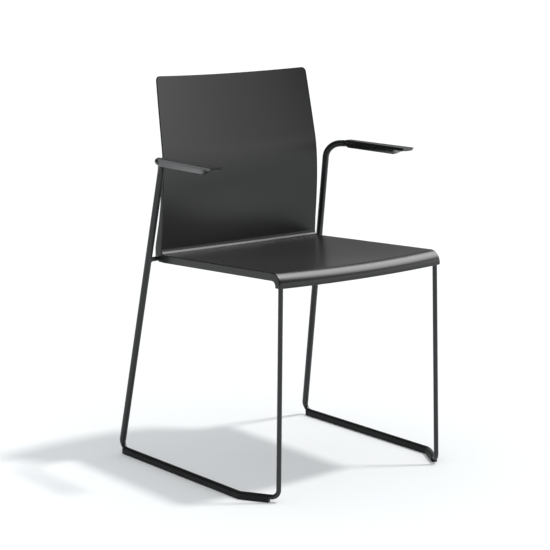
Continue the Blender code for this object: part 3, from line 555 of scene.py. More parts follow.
# %% Group: powder coat
NIBS_PER_PEEL = 6.0
NIB_TIPS = (0.62, 0.80)
COAT_DRIFTS_PER_METRE = 14.0


def powder_coat_group():
    tree, start, end = new_group(
        "powder_coat",
        [("Peel per metre", 420.0), ("Nib share", 0.35), ("Roughness", 0.32), ("Roughness drift", 0.03)],
        ["Height", "Roughness"])
    place = chair_place(tree)
    peel = add_noise(tree, place, start["Peel per metre"], detail=1.5, roughness=0.45)
    nib_scale = math_step(tree, "MULTIPLY", start["Peel per metre"], NIBS_PER_PEEL)
    nibs = add_range(tree, add_noise(tree, place, nib_scale, detail=2.0, roughness=0.6), NIB_TIPS, (0.0, 1.0))
    slow = add_noise(tree, place, COAT_DRIFTS_PER_METRE, detail=2.0, roughness=0.5)
    feed(tree, end["Height"], math_step(tree, "MULTIPLY_ADD", nibs, start["Nib share"], peel))
    feed(tree, end["Roughness"], drifting_roughness(tree, start, slow))
    return tree


powder_coat = powder_coat_group()
print("group", powder_coat.name)

# %% [markdown]
# ### Edge wear and painted edge light
#
# This group lays a broken mask along thin edges. On the glides it marks real scuffs near the floor. On the
# shell it paints shade, a darker edge radius, and on the pads it paints a highlight, a lighter edge. The mask
# comes from the piece itself, where the maker knows which points lie on an edge, and noise breaks it up so
# that the mark is never an even stripe.

# %% Group: edge wear and painted edge light
WEAR_AND_LIGHT_BREAKS = (0.42, 0.62)
LEAST_WEAR_AND_LIGHT = 0.25


def edge_wear_and_light_group():
    tree, start, end = new_group(
        "edge_wear_and_light", [("Edge", 0.0), ("Breaks per metre", 120.0), ("Amount", 0.5)], ["Mask"])
    patches = add_noise(tree, chair_place(tree), start["Breaks per metre"], detail=4.0, roughness=0.65)
    broken = add_range(tree, patches, WEAR_AND_LIGHT_BREAKS, (LEAST_WEAR_AND_LIGHT, 1.0))
    worn = math_step(tree, "MULTIPLY", start["Edge"], broken)
    feed(tree, end["Mask"], math_step(tree, "MULTIPLY", worn, start["Amount"]))
    return tree


edge_wear_and_light = edge_wear_and_light_group()
print("group", edge_wear_and_light.name)

# %% [markdown]
# ### Settled dust
#
# Dark plastic always shows a trace of dust where it faces up. The mask follows the surface's own normal in
# the room, not the camera, so it stays put from every side.

# %% Group: settled dust
DUST_HOLDS_FROM = 0.35
SPECK_TIPS = (0.50, 0.75)
SPECK_SHARES = (0.3, 1.0)
DUST_DRIFTS_PER_METRE = 9.0
DUST_DRIFT_SPAN = (0.35, 0.70)
DUST_DRIFT_SHARES = (0.5, 1.0)


def settled_dust_group():
    tree, start, end = new_group(
        "settled_dust", [("Amount", 0.1), ("Specks per metre", 700.0)], ["Mask"])
    normal = tree.nodes.new("ShaderNodeNewGeometry").outputs["Normal"]
    upward = add_range(tree, facing(tree, normal, UP), (DUST_HOLDS_FROM, 1.0), (0.0, 1.0))
    place = chair_place(tree)
    specks = add_noise(tree, place, start["Specks per metre"], detail=3.0, roughness=0.7)
    specks = add_range(tree, specks, SPECK_TIPS, SPECK_SHARES)
    drifts = add_noise(tree, place, DUST_DRIFTS_PER_METRE, detail=3.0, roughness=0.6)
    drifts = add_range(tree, drifts, DUST_DRIFT_SPAN, DUST_DRIFT_SHARES)
    laid = math_step(tree, "MULTIPLY", upward, math_step(tree, "MULTIPLY", specks, drifts))
    feed(tree, end["Mask"], math_step(tree, "MULTIPLY", laid, start["Amount"]))
    return tree


settled_dust = settled_dust_group()
print("group", settled_dust.name)

# %% [markdown]
# ### Turned metal
#
# Screw heads keep the fine rings of the lathe under their zinc. Rings round each screw's own middle would
# need one texture per screw, so a stretched noise across the head stands for them.

# %% Group: turned metal
MARK_STRETCH = (1.0, 0.12, 1.0)
MARK_GLOSS = (-0.06, 0.06)
STAINS_PER_METRE = 600.0
STAIN_SPAN = (0.45, 0.70)


def turned_metal_group():
    tree, start, end = new_group(
        "turned_metal", [("Marks per metre", 9000.0), ("Roughness", 0.3)], ["Height", "Roughness", "Stain"])
    stretch = tree.nodes.new("ShaderNodeMapping")
    stretch.inputs["Scale"].default_value = MARK_STRETCH
    feed(tree, stretch.inputs["Vector"], chair_place(tree))
    marks = add_noise(tree, stretch.outputs[0], start["Marks per metre"], detail=2.0, roughness=0.5)
    stain = add_noise(tree, chair_place(tree), STAINS_PER_METRE, detail=3.0, roughness=0.6)
    change = add_range(tree, marks, NOISE_SPAN, MARK_GLOSS)
    feed(tree, end["Height"], marks)
    feed(tree, end["Roughness"], math_step(tree, "ADD", start["Roughness"], change))
    feed(tree, end["Stain"], add_range(tree, stain, STAIN_SPAN, (0.0, 1.0)))
    return tree


turned_metal = turned_metal_group()
print("group", turned_metal.name)

# %% [markdown]
# ## The finishes
#
# Every finish starts from one Principled shader with its plain numbers on its own sockets. Groups then
# modulate colour, roughness and relief. Relief is given as a real height in metres through a Bump node.

# %% Finish helpers
MIX_COLOUR_INPUTS = (6, 7)
MIX_COLOUR_OUTPUT = 2
DUST_COLOUR = (0.30, 0.29, 0.27)
COATING_IOR = 1.5


def new_finish(name, base, **plain):
    """A material with one Principled shader; plain values go straight on the shader's sockets."""
    material = bpy.data.materials.new(name)
    material.use_nodes = True
    tree = material.node_tree
    shader = tree.nodes["Principled BSDF"]
    shader.inputs["Base Color"].default_value = (*base, 1.0)
    for label, value in plain.items():
        shader.inputs[label.replace("_", " ")].default_value = value
    material.diffuse_color = (*base, 1.0)
    return material, tree, shader


def place_group(tree, group, **values):
    """Puts a node group into a finish with values of its own."""
    node = tree.nodes.new("ShaderNodeGroup")
    node.node_tree = group
    for label, value in values.items():
        feed(tree, node.inputs[label.replace("_", " ")], value)
    return node.outputs


def tint(tree, mask, first, second):
    """A colour that turns from the first to the second where the mask is high."""
    mix = tree.nodes.new("ShaderNodeMix")
    mix.data_type = "RGBA"
    feed(tree, mix.inputs["Factor"], mask)
    for number, colour in zip(MIX_COLOUR_INPUTS, (first, second)):
        feed(tree, mix.inputs[number], colour if hasattr(colour, "node") else (*colour, 1.0))
    return mix.outputs[MIX_COLOUR_OUTPUT]


def dress(tree, shader, colour, group, depth):
    """Gives the shader its colour and a group's roughness, and raises it by the group's height in metres."""
    bump = tree.nodes.new("ShaderNodeBump")
    bump.inputs["Strength"].default_value = 1.0
    bump.inputs["Distance"].default_value = depth
    feed(tree, bump.inputs["Height"], group["Height"])
    feed(tree, shader.inputs["Base Color"], colour)
    feed(tree, shader.inputs["Roughness"], group["Roughness"])
    feed(tree, shader.inputs["Normal"], bump.outputs["Normal"])


print("dust colour", DUST_COLOUR)

# %% [markdown]
# ### Shell and pad plastics
#
# The shell is dyed right through in a deep anthracite. It is satin: bright things mirror in it as soft bands,
# which is why the bend and the lip carry clear lines of light. The pads are smoother and a little glossier
# than the shell, because hands polish them.
# The shell and the frame keep their roughness, with all its drift, above 0.274, and the pads keep it below.
# The render's noise filter takes anything smoother than that for a mirror, and a drift across the value would
# draw faint rings on a broad face.

# %% Shell and pad plastics
SHELL_COLOUR = (0.0113, 0.0113, 0.0110)
SHELL_FLOW_COLOUR = (0.0126, 0.0126, 0.0122)
# Painted shade: the shell's edge radius is coloured darker to draw a dark line along it.
SHELL_EDGE_SHADE_COLOUR = (0.0020, 0.0020, 0.0020)
SHELL_RELIEF = 0.000005
PAD_COLOUR = (0.0090, 0.0092, 0.0096)
# Painted highlight: the pads' rounded edges and ledge are coloured lighter.
PAD_EDGE_HIGHLIGHT_COLOUR = (0.014, 0.014, 0.015)
PAD_RELIEF = 0.000004


def moulded_finish(name, colours, specular, grain, edge_light, depth):
    """A plastic with grain, painted edge light and dust; its colours are body, flow lines and painted edge
    light.
    """
    body, flowed, edge = colours
    material, tree, shader = new_finish(name, body, Specular_IOR_Level=specular, IOR=COATING_IOR)
    grained = place_group(tree, moulded_grain, **grain)
    edge_mask = tree.nodes.new("ShaderNodeAttribute")
    edge_mask.attribute_name = "edge"
    edge_light_mask = place_group(tree, edge_wear_and_light, Edge=edge_mask.outputs["Fac"], **edge_light)
    dusted = place_group(tree, settled_dust, Amount=0.012, Specks_per_metre=900.0)
    colour = tint(tree, grained["Flow"], body, flowed)
    # The edge mask paints shade on the shell's edge radius and a highlight on the pads' edges.
    colour = tint(tree, edge_light_mask["Mask"], colour, edge)
    dress(tree, shader, tint(tree, dusted["Mask"], colour, DUST_COLOUR), grained, depth)
    return material


shell_plastic = moulded_finish(
    "shell_plastic_moulded", (SHELL_COLOUR, SHELL_FLOW_COLOUR, SHELL_EDGE_SHADE_COLOUR), specular=0.43,
    grain={"Grains_per_metre": 2600.0, "Roughness": 0.295, "Roughness_drift": 0.010},
    edge_light={"Breaks_per_metre": 90.0, "Amount": 0.55}, depth=SHELL_RELIEF)
pad_plastic = moulded_finish(
    "pad_plastic_moulded", (PAD_COLOUR, PAD_COLOUR, PAD_EDGE_HIGHLIGHT_COLOUR), specular=0.85,
    grain={"Grains_per_metre": 3200.0, "Roughness": 0.22, "Roughness_drift": 0.02},
    edge_light={"Breaks_per_metre": 160.0, "Amount": 0.5}, depth=PAD_RELIEF)
print("finishes", shell_plastic.name, pad_plastic.name)

# %% [markdown]
# ### Glide plastic, powder-coated steel and zinc
#
# The glides are a plain matt nylon that takes scuffs along the floor. The bars, lugs and welds share one
# anthracite powder coat. The screws are bright zinc with a warm stain where the plating is thin.

# %% Glide plastic, frame coat and zinc
GLIDE_COLOUR = (0.0060, 0.0062, 0.0070)
GLIDE_SCUFF_COLOUR = (0.045, 0.044, 0.042)
GLIDE_RELIEF = 0.000020
SCUFF_HEIGHT = 0.0025
FRAME_COLOUR = (0.0095, 0.0099, 0.0101)
FRAME_RELIEF = 0.000015
ZINC_COLOUR = (0.58, 0.58, 0.56)
ZINC_STAIN_COLOUR = (0.50, 0.47, 0.38)
ZINC_RELIEF = 0.000008


def make_glide_plastic():
    material, tree, shader = new_finish(
        "glide_plastic_moulded", GLIDE_COLOUR, Specular_IOR_Level=0.25, IOR=COATING_IOR)
    grained = place_group(tree, moulded_grain, Grains_per_metre=1800.0, Roughness=0.55, Roughness_drift=0.05)
    near_floor = add_range(tree, facing(tree, chair_place(tree), UP), (0.0, SCUFF_HEIGHT), (1.0, 0.0))
    scuffed = place_group(tree, edge_wear_and_light, Edge=near_floor, Breaks_per_metre=220.0, Amount=0.6)
    dress(tree, shader, tint(tree, scuffed["Mask"], GLIDE_COLOUR, GLIDE_SCUFF_COLOUR), grained, GLIDE_RELIEF)
    return material


def make_frame_coat():
    material, tree, shader = new_finish(
        "frame_coat_powder", FRAME_COLOUR, Specular_IOR_Level=0.5, IOR=COATING_IOR)
    coated = place_group(
        tree, powder_coat, Peel_per_metre=420.0, Nib_share=0.25, Roughness=0.31, Roughness_drift=0.025)
    dusted = place_group(tree, settled_dust, Amount=0.008, Specks_per_metre=1200.0)
    dress(tree, shader, tint(tree, dusted["Mask"], FRAME_COLOUR, DUST_COLOUR), coated, FRAME_RELIEF)
    return material


def make_screw_zinc():
    material, tree, shader = new_finish("screw_zinc_plated", ZINC_COLOUR, Metallic=1.0)
    metal = place_group(tree, turned_metal, Marks_per_metre=9000.0, Roughness=0.30)
    dress(tree, shader, tint(tree, metal["Stain"], ZINC_COLOUR, ZINC_STAIN_COLOUR), metal, ZINC_RELIEF)
    return material


glide_plastic = make_glide_plastic()
frame_coat = make_frame_coat()
screw_zinc = make_screw_zinc()
finish_of_slot = {
    "shell_plastic": shell_plastic,
    "pad_plastic": pad_plastic,
    "glide_plastic": glide_plastic,
    "frame_coat": frame_coat,
    "screw_zinc": screw_zinc,
}
for part in frame["record"]["subparts"]:
    chair[part["node"]].material_slots[0].material = finish_of_slot[part["material_slot"]]

# %% [markdown]
# ## The moulded shell
#
# Seat, lip and back are one injection moulding about three millimetres thick. Its side profile runs from the
# lip over the seat, round a tight bend and up the back, which leans forward and then back again. Across, the
# seat is slightly dished and the back is hollow. Turned-down rims stiffen both sides.
#
# The profile is sampled as a row of stations. Each station holds a place, a width, how far the middle is
# pushed back and down, and how deep its rim is. Rings of points are then skinned over the stations. That
# keeps every surface smooth with far fewer controls than a hand-pulled mesh.
# Lengths are in metres. Names that end in BY, AT, ENDS or STARTS are shares of the way: forward along the
# seat, or up the back.

# %% Shell measures
SEAT_FRONT_HEIGHT = 0.4600
SEAT_FRONT_Y = -0.2105
SEAT_DEPTH = 0.3755
SEAT_SLOPE = 0.0483
LIP_REACH = 0.0270
LIP_RADIUS = 0.0245
LIP_DROP = 0.0290
BACK_BEND = 0.0105
BACK_RISE = 0.3538
BACK_LEANS = (
    (0.030, -0.088), (0.115, -0.030), (0.155, 0.022), (0.190, 0.114),
    (0.212, 0.192), (0.290, 0.190), (0.354, 0.190),
)
SEAT_HALF_WIDTH = 0.2099
SEAT_FRONT_FLARE = 0.0015
LIP_FLARE = 0.0014
BACK_WAIST = 0.0010
BACK_TAPER = 0.0090
BACK_TAPER_FROM = 0.0800
BACK_TAPER_POWER = 1.6
LIP_CORNER = 0.0021
LIP_EDGE_ROUND = 0.0018
BACK_CORNER = 0.0098
FRONT_BOW = 0.0150
FRONT_DISH = 0.0020
LIP_DISH = 0.0004
MIDDLE_DISH = 0.0055
REAR_DISH = 0.0027
BEND_HOLLOW = 0.0100
LUMBAR_HOLLOW = 0.0200
BACK_TOP_HOLLOW = 0.0240
BACK_TOP_DIP = 0.0011
HOLLOW_ENDS = 0.45
WAIST_BY = 0.08
DISH_TURNS_BY = 0.15
LUMBAR_AT = 0.35
WALL_THINS_BY = 0.50
DIP_STARTS = 0.85
SEAT_WALL = 0.0036
BACK_WALL = 0.0030
RIM_WALL = 0.0024
LEAST_RIM_WALL = 0.0014
RIM_DRAFT = 0.0008
RIM_FOOT_ROUND = 0.00045
SEAT_RIM_DEPTH = 0.0162
LIP_RIM_DEPTH = 0.0132
REAR_RIM_CORNER = 0.0070
BACK_RIM_DEPTHS = ((0.0, 0.0200), (0.025, 0.0178), (0.055, 0.0132), (0.090, 0.0094), (0.190, 0.0031))

SEAT_ANGLE = math.atan(SEAT_SLOPE)
LIP_FRONT_Y = SEAT_FRONT_Y - LIP_REACH
LIP_BOTTOM = SEAT_FRONT_HEIGHT - LIP_DROP
BACK_FOOT_Y = SEAT_FRONT_Y + SEAT_DEPTH
BACK_TOP = SEAT_FRONT_HEIGHT + BACK_RISE
CHAIR_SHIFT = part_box("seat_shell")[0].y - (LIP_FRONT_Y - FRONT_BOW)
print("shell back top", BACK_TOP, "shift of the chair along Y", round(CHAIR_SHIFT, 5))

# %% [markdown]
# ### Stations along the shell
#
# The seat, the lip and the back each have their own rule for width, hollow and rim, because they do
# different work: the seat spreads weight, the lip spares the thighs and the back follows the spine.

# %% Stations
def corner_loss(distance, radius):
    """How far a rounded corner draws an edge in, at a distance from the end."""
    if distance >= radius:
        return 0.0
    return radius - math.sqrt(max(radius * radius - (radius - distance) ** 2, 0.0))


def seat_edge_height(y):
    return SEAT_FRONT_HEIGHT - SEAT_SLOPE * (y - SEAT_FRONT_Y)


def seat_station(y, z):
    share = (BACK_FOOT_Y - y) / (BACK_FOOT_Y - SEAT_FRONT_Y)
    dish = blend(REAR_DISH, FRONT_DISH, min(share, 1.0))
    dish += MIDDLE_DISH * max(4.0 * share * (1.0 - share), 0.0)
    shift = BEND_HOLLOW * smooth_step(1.0 - share / HOLLOW_ENDS)
    shift -= FRONT_BOW * smooth_step((share - HOLLOW_ENDS) / (1.0 - HOLLOW_ENDS))
    width = SEAT_HALF_WIDTH + SEAT_FRONT_FLARE * share
    return {
        "full": width,
        "half": width,
        "shift": shift,
        "dish": dish,
        "wall": SEAT_WALL,
        "rim": SEAT_RIM_DEPTH,
        "rim_wall": RIM_WALL,
        "y": y,
        "z": z,
        "down": Vector((0.0, -math.sin(SEAT_ANGLE), -math.cos(SEAT_ANGLE))),
    }


def lip_station(y, z, angle):
    rise = z - LIP_BOTTOM
    drop = smooth_step((SEAT_FRONT_HEIGHT - z) / LIP_DROP)
    narrowed = corner_loss(rise, LIP_CORNER)
    edge = corner_loss(rise, LIP_EDGE_ROUND)
    place = seat_station(SEAT_FRONT_Y, z)
    place["y"] = y + edge
    place["full"] = SEAT_HALF_WIDTH + SEAT_FRONT_FLARE + LIP_FLARE * drop
    place["half"] = place["full"] - narrowed
    place["dish"] = blend(FRONT_DISH, LIP_DISH, drop)
    place["wall"] = SEAT_WALL - edge
    place["rim"] = blend(SEAT_RIM_DEPTH, LIP_RIM_DEPTH, drop)
    place["rim_wall"] = max(RIM_WALL - narrowed, LEAST_RIM_WALL)
    place["down"] = Vector((0.0, math.cos(angle), -math.sin(angle)))
    return place


LEAN_STEPS = 60


def back_edge_y(height, foot):
    """The back's front face along its side edges, found by adding up its lean from the foot."""
    step = (height - foot) / LEAN_STEPS
    middles = [foot + (index + 0.5) * step - SEAT_FRONT_HEIGHT for index in range(LEAN_STEPS)]
    return BACK_FOOT_Y + sum(read_table(BACK_LEANS, middle) for middle in middles) * step


def back_station(z, foot):
    share = (z - foot) / (BACK_TOP - foot)
    taper_from = SEAT_FRONT_HEIGHT + BACK_TAPER_FROM
    taper = BACK_TAPER * max((z - taper_from) / (BACK_TOP - taper_from), 0.0) ** BACK_TAPER_POWER
    width = SEAT_HALF_WIDTH - BACK_WAIST * smooth_step(share / WAIST_BY) - taper
    hollow = blend(BEND_HOLLOW, LUMBAR_HOLLOW, smooth_step(share / LUMBAR_AT))
    hollow = blend(hollow, BACK_TOP_HOLLOW, smooth_step((share - LUMBAR_AT) / (1.0 - LUMBAR_AT)))
    lean = read_table(BACK_LEANS, z - SEAT_FRONT_HEIGHT)
    dip = BACK_TOP_DIP * smooth_step((share - DIP_STARTS) / (1.0 - DIP_STARTS))
    return {
        "full": width,
        "half": width - corner_loss(BACK_TOP - z, BACK_CORNER),
        "shift": hollow,
        "dish": blend(REAR_DISH, hollow * lean, smooth_step(share / DISH_TURNS_BY)) + dip,
        "wall": blend(SEAT_WALL, BACK_WALL, smooth_step(share / WALL_THINS_BY)),
        "rim": read_table(BACK_RIM_DEPTHS, z - foot),
        "rim_wall": RIM_WALL,
        "y": back_edge_y(z, foot),
        "z": z,
        "down": Vector((0.0, 1.0, -lean)).normalized(),
    }


def rear_rim_depth(angle):
    """Depth of the rims round the rear bend; their edge makes a rounded corner below and behind the bend."""
    low = BACK_BEND + SEAT_RIM_DEPTH
    rear = BACK_BEND + BACK_RIM_DEPTHS[0][1]
    ray = Vector((math.cos(angle), math.sin(angle)))
    corner = Vector((rear - REAR_RIM_CORNER, REAR_RIM_CORNER - low))
    if ray.y < 0.0 and -low / ray.y * ray.x <= corner.x:
        return -low / ray.y - BACK_BEND
    if rear / ray.x * ray.y >= corner.y:
        return rear / ray.x - BACK_BEND
    ahead = ray.dot(corner)
    return ahead + math.sqrt(ahead * ahead - corner.length_squared + REAR_RIM_CORNER ** 2) - BACK_BEND


LIP_STEPS = 18
SEAT_STEPS = 26
BEND_STEPS = 16
BACK_STEPS = 54
TOP_CORNER_STEPS = 9
LIP_EDGE_RISES = (0.0, 0.00025, 0.0007, 0.0013)
APRON_MIDDLE = 0.6


def shell_stations():
    """The side profile from the lip's lower edge over the seat and up the back."""
    stations = []
    arc_y = LIP_FRONT_Y + LIP_RADIUS
    arc_top_y = arc_y + LIP_RADIUS * math.sin(SEAT_ANGLE)
    arc_z = seat_edge_height(arc_top_y) - LIP_RADIUS * math.cos(SEAT_ANGLE)
    apron = arc_z - LIP_BOTTOM
    for rise in (*LIP_EDGE_RISES, LIP_CORNER, apron * APRON_MIDDLE):
        stations.append(lip_station(LIP_FRONT_Y, LIP_BOTTOM + rise, 0.0))
    for angle in steps_between(0.0, math.pi / 2.0 + SEAT_ANGLE, LIP_STEPS):
        y = arc_y - LIP_RADIUS * math.cos(angle)
        stations.append(lip_station(y, arc_z + LIP_RADIUS * math.sin(angle), angle))
    back_angle = math.atan(-BACK_LEANS[0][1])
    turn = math.pi / 2.0 + back_angle + SEAT_ANGLE
    seat_end_y = BACK_FOOT_Y - BACK_BEND * math.tan(turn / 2.0) * math.cos(SEAT_ANGLE)
    for y in steps_between(arc_top_y, seat_end_y, SEAT_STEPS)[1:-1]:
        stations.append(seat_station(y, seat_edge_height(y)))
    centre_y = seat_end_y + BACK_BEND * math.sin(SEAT_ANGLE)
    centre_z = seat_edge_height(seat_end_y) + BACK_BEND * math.cos(SEAT_ANGLE)
    for angle in steps_between(-math.pi / 2.0 - SEAT_ANGLE, back_angle, BEND_STEPS):
        place = seat_station(BACK_FOOT_Y, 0.0)
        place["rim"] = rear_rim_depth(angle)
        place["y"] = centre_y + BACK_BEND * math.cos(angle)
        place["z"] = centre_z + BACK_BEND * math.sin(angle)
        place["down"] = Vector((0.0, math.cos(angle), math.sin(angle)))
        stations.append(place)
    foot = stations[-1]["z"]
    offset = stations[-1]["y"] - back_station(foot, foot)["y"]
    heights = steps_between(foot, BACK_TOP - BACK_CORNER, BACK_STEPS)[1:]
    for turn in steps_between(0.0, math.pi / 2.0, TOP_CORNER_STEPS)[1:]:
        heights.append(BACK_TOP - BACK_CORNER * (1.0 - math.sin(turn)))
    for height in heights:
        place = back_station(height, foot)
        place["y"] += offset
        stations.append(place)
    return stations


def shell_point(place, across):
    """Across runs from -1 to 1 between the shell's side edges."""
    x = place["half"] * across
    crown = 1.0 - (x / place["full"]) ** 2
    return Vector((x, place["y"] + place["shift"] * crown + CHAIR_SHIFT, place["z"] - place["dish"] * crown))


print("stations", len(shell_stations()))

# %% [markdown]
# ## Lines of the steel bars
#
# The frame's centre lines come before the shell's skin, because the shell has to let the bars through. One
# bar makes a whole side: spigot inside the pad, arm, rear leg, runner, front leg and seat rail. It is a few
# straight lines joined by round bends, just as it is bent in the workshop.

# %% Bar lines
NEST_GAP = 0.0008
SEAT_GAP = 0.0003
LEG_RADIUS = 0.0072
RUNNER_RADIUS = 0.0049
SPIGOT_RADIUS = 0.0045
GLIDE_DEPTH = 0.0063
LEG_STANDS_OFF = 0.0147
REAR_LEAN = 0.1834
REAR_SPLAY = 0.0546
FRONT_RAKE = 0.0120
FRONT_SPLAY = 0.0211
KINK_SET_BACK = 0.0710
REAR_FLOOR_BEND = 0.0170
KINK_BEND = 0.0200
FRONT_FLOOR_BEND = 0.0155
UNDER_LIP_BEND = 0.0175
ARM_BEND = 0.0165
POST_TOP_BEND = 0.0330
ARM_OUTSET = 0.0310
ARM_TURN_BEFORE_PAD = 0.0125
ARM_SPREAD_PER_LENGTH = 0.0115
PAD_AHEAD_OF_POST = 0.0374
ARM_RISE = 0.1965
ARM_AXIS_DROP = 0.0092
SPIGOT_LENGTH = 0.1100
SPIGOT_SHOULDER = 0.0012
REAR_BAR_SET_BACK = 0.0134
REAR_BAR_DROP = 0.0097
FRONT_BAR_DROP = 0.0200
FRONT_BAR_SET_BACK = 0.0030
DRAW_DOWN_RISE = 1.5 * REAR_FLOOR_BEND

RUNNER_AXIS = GLIDE_DEPTH + RUNNER_RADIUS
RAIL_DROP = SEAT_WALL + NEST_GAP + RUNNER_RADIUS
REAR_BAR_Y = BACK_FOOT_Y + REAR_BAR_SET_BACK
REAR_BAR_Z = SEAT_FRONT_HEIGHT - SEAT_SLOPE * SEAT_DEPTH - REAR_BAR_DROP
REAR_BAR_END = SEAT_HALF_WIDTH + RIM_DRAFT + LEG_STANDS_OFF + LEG_RADIUS
FRONT_BAR_Z = SEAT_FRONT_HEIGHT - FRONT_BAR_DROP
ARM_HEIGHT = SEAT_FRONT_HEIGHT + ARM_RISE
ARM_AXIS = ARM_HEIGHT - ARM_AXIS_DROP


def placed(point, side=1):
    """A point of the sitter's left half, moved to the chair's place; side -1 mirrors it."""
    return Vector((side * point.x, point.y + CHAIR_SHIFT, point.z))


def rear_leg_at(height):
    rise = height - REAR_BAR_Z
    return Vector((REAR_BAR_END - REAR_SPLAY * rise, REAR_BAR_Y - REAR_LEAN * rise, height))


def arm_line_at(along):
    post = rear_leg_at(ARM_AXIS)
    x = post.x + ARM_OUTSET + ARM_SPREAD_PER_LENGTH * along
    return Vector((x, post.y - PAD_AHEAD_OF_POST - along, ARM_AXIS))


def rail_x(half_width):
    return half_width + RIM_DRAFT * 0.5 - RIM_WALL - NEST_GAP - RUNNER_RADIUS


def rail_height(y):
    return seat_edge_height(y) - RAIL_DROP


def front_leg_top():
    half = SEAT_HALF_WIDTH + SEAT_FRONT_FLARE
    x = rail_x(half)
    y = LIP_FRONT_Y + SEAT_WALL + SEAT_GAP + RUNNER_RADIUS - FRONT_BOW * (1.0 - (x / half) ** 2)
    return Vector((x, y, rail_height(y)))


def rear_rail_end():
    return Vector((rail_x(SEAT_HALF_WIDTH), REAR_BAR_Y, rail_height(REAR_BAR_Y)))


def floor_corners():
    top = front_leg_top()
    fall = top.z - RUNNER_AXIS
    rear = rear_leg_at(RUNNER_AXIS)
    front = Vector((top.x + FRONT_SPLAY * fall, top.y - FRONT_RAKE * fall, RUNNER_AXIS))
    kink = Vector((rear.x, front.y + KINK_SET_BACK, RUNNER_AXIS))
    return [rear, kink, front]


def side_bar_line():
    """Centre line and radii of one side, from the spigot's tip to the rail's rear end."""
    corners = [arm_line_at(0.0), arm_line_at(-ARM_TURN_BEFORE_PAD), rear_leg_at(ARM_AXIS)]
    corners += floor_corners() + [front_leg_top(), rear_rail_end()]
    bends = [ARM_BEND, POST_TOP_BEND, REAR_FLOOR_BEND, KINK_BEND, FRONT_FLOOR_BEND, UNDER_LIP_BEND]
    path = bent_path(corners, bends)
    lowest = min(range(len(path)), key=lambda index: (round(path[index].z, 5), index))
    line = [(arm_line_at(SPIGOT_LENGTH), SPIGOT_RADIUS), (arm_line_at(-SEAT_GAP), SPIGOT_RADIUS)]
    line.append((arm_line_at(-SEAT_GAP - SPIGOT_SHOULDER), LEG_RADIUS))
    for index, point in enumerate(path[1:], 1):
        share = smooth_step((point.z - RUNNER_AXIS) / DRAW_DOWN_RISE)
        line.append((point, RUNNER_RADIUS if index >= lowest else blend(RUNNER_RADIUS, LEG_RADIUS, share)))
    return line


print("points along one side bar", len(side_bar_line()))

# %% [markdown]
# ### Skinning the stations
#
# Every ring goes over the top face, round the small edge radius, down the drafted rim, round its foot and
# back along the underside. A mask marks the thin edge radius, and the finish paints shade there, darkening it
# a little, which draws the fine dark line along the edges.

# %% Shell skin
ACROSS = 48
EDGE_BUNCHING = 0.35
SOFT_EDGE = 0.0016
EDGE_TURNS = (20.0, 45.0, 70.0, 90.0)
FOOT_TURNS = (30.0, 60.0, 90.0)
RIM_SIDE_SHARES = (0.35, 0.7, 1.0)
MOST_EDGE_SHARE = 0.8
SHELL_CRISP = 32.0


def spans_across():
    """Places across the shell from -1 to 1, closer together towards the edges."""
    even = [2.0 * index / ACROSS - 1.0 for index in range(ACROSS + 1)]
    return [blend(span, math.sin(math.pi / 2.0 * span), EDGE_BUNCHING) for span in even]


def rim_points(place, mirror):
    """The rounded top edge, the drafted side and the rounded foot of one rim."""
    edge = shell_point(place, mirror)
    outward = Vector((mirror, 0.0, 0.0))
    down = place["down"]
    lean = RIM_DRAFT * place["rim"] / SEAT_RIM_DEPTH
    points = []
    for turn in EDGE_TURNS:
        out = SOFT_EDGE * (math.sin(math.radians(turn)) - 1.0)
        fall = SOFT_EDGE * (1.0 - math.cos(math.radians(turn)))
        points.append(edge + outward * out + down * fall)
    side_end = place["rim"] - RIM_FOOT_ROUND
    side_start = min(SOFT_EDGE, side_end * MOST_EDGE_SHARE)
    for share in RIM_SIDE_SHARES:
        points.append(edge + outward * lean * share + down * blend(side_start, side_end, share))
    for turn in FOOT_TURNS:
        back = RIM_FOOT_ROUND * (1.0 - math.cos(math.radians(turn)))
        fall = RIM_FOOT_ROUND * math.sin(math.radians(turn))
        points.append(edge + outward * (lean - back) + down * (side_end + fall))
    points.append(edge + outward * (lean - place["rim_wall"]) + down * place["rim"])
    return points


def shell_skin():
    """Points, faces and the edge mask of the moulded shell."""
    points = []
    rings = []
    mask = []
    for place in shell_stations():
        half = place["half"]
        top = []
        under = []
        for span in spans_across():
            top.append(shell_point(place, span * (half - SOFT_EDGE) / half))
            below = shell_point(place, span * (half - place["rim_wall"]) / half)
            under.append(below + place["down"] * place["wall"])
        near = rim_points(place, 1.0)
        far = rim_points(place, -1.0)
        ring = top + near + list(reversed(under)) + list(reversed(far))
        # The edge radius points carry the mask of painted shade that darkens the shell's edge.
        rim_mask = [1.0] * (len(EDGE_TURNS) - 1) + [0.0] * (len(near) - len(EDGE_TURNS) + 1)
        add_ring(points, rings, ring)
        mask += [0.0] * len(top) + rim_mask + [0.0] * len(under) + list(reversed(rim_mask))
    faces = ring_faces(rings)
    tops = ACROSS + 1
    under_start = tops + len(near)
    under_end = under_start + ACROSS
    for ring in (rings[0], rings[-1]):
        for index in range(ACROSS):
            below = under_end - index
            faces.append([ring[index], ring[index + 1], ring[below - 1], ring[below]])
        faces.append([ring[index] for index in range(tops - 1, under_start + 1)])
        faces.append([ring[0]] + [ring[index] for index in range(under_end, len(ring))])
    return points, faces, mask


skin_points, skin_faces, edge_mask = shell_skin()
moulded_shell = chair_piece(
    "moulded_shell", skin_points, skin_faces, shell_plastic, ["seat_shell"], crisp=SHELL_CRISP,
    masks={"edge": edge_mask})
print("moulded shell", len(moulded_shell.data.polygons), "faces")

# %% [markdown]
# ### Slots for the rear bar
#
# The rear cross bar passes through both rims in a slot that is open below, so that the shell can be lowered
# over the welded frame. The slot is cut with a real solid, the way a mould core would leave it.

# %% Bar slots
BAR_NOTCH_DEPTH = 0.0120
NOTCH_STEPS = 24


def notch_point(end, across, up):
    reach = REAR_BAR_END if end else -REAR_BAR_END
    return Vector((reach, REAR_BAR_Y + across + CHAIR_SHIFT, REAR_BAR_Z + up))


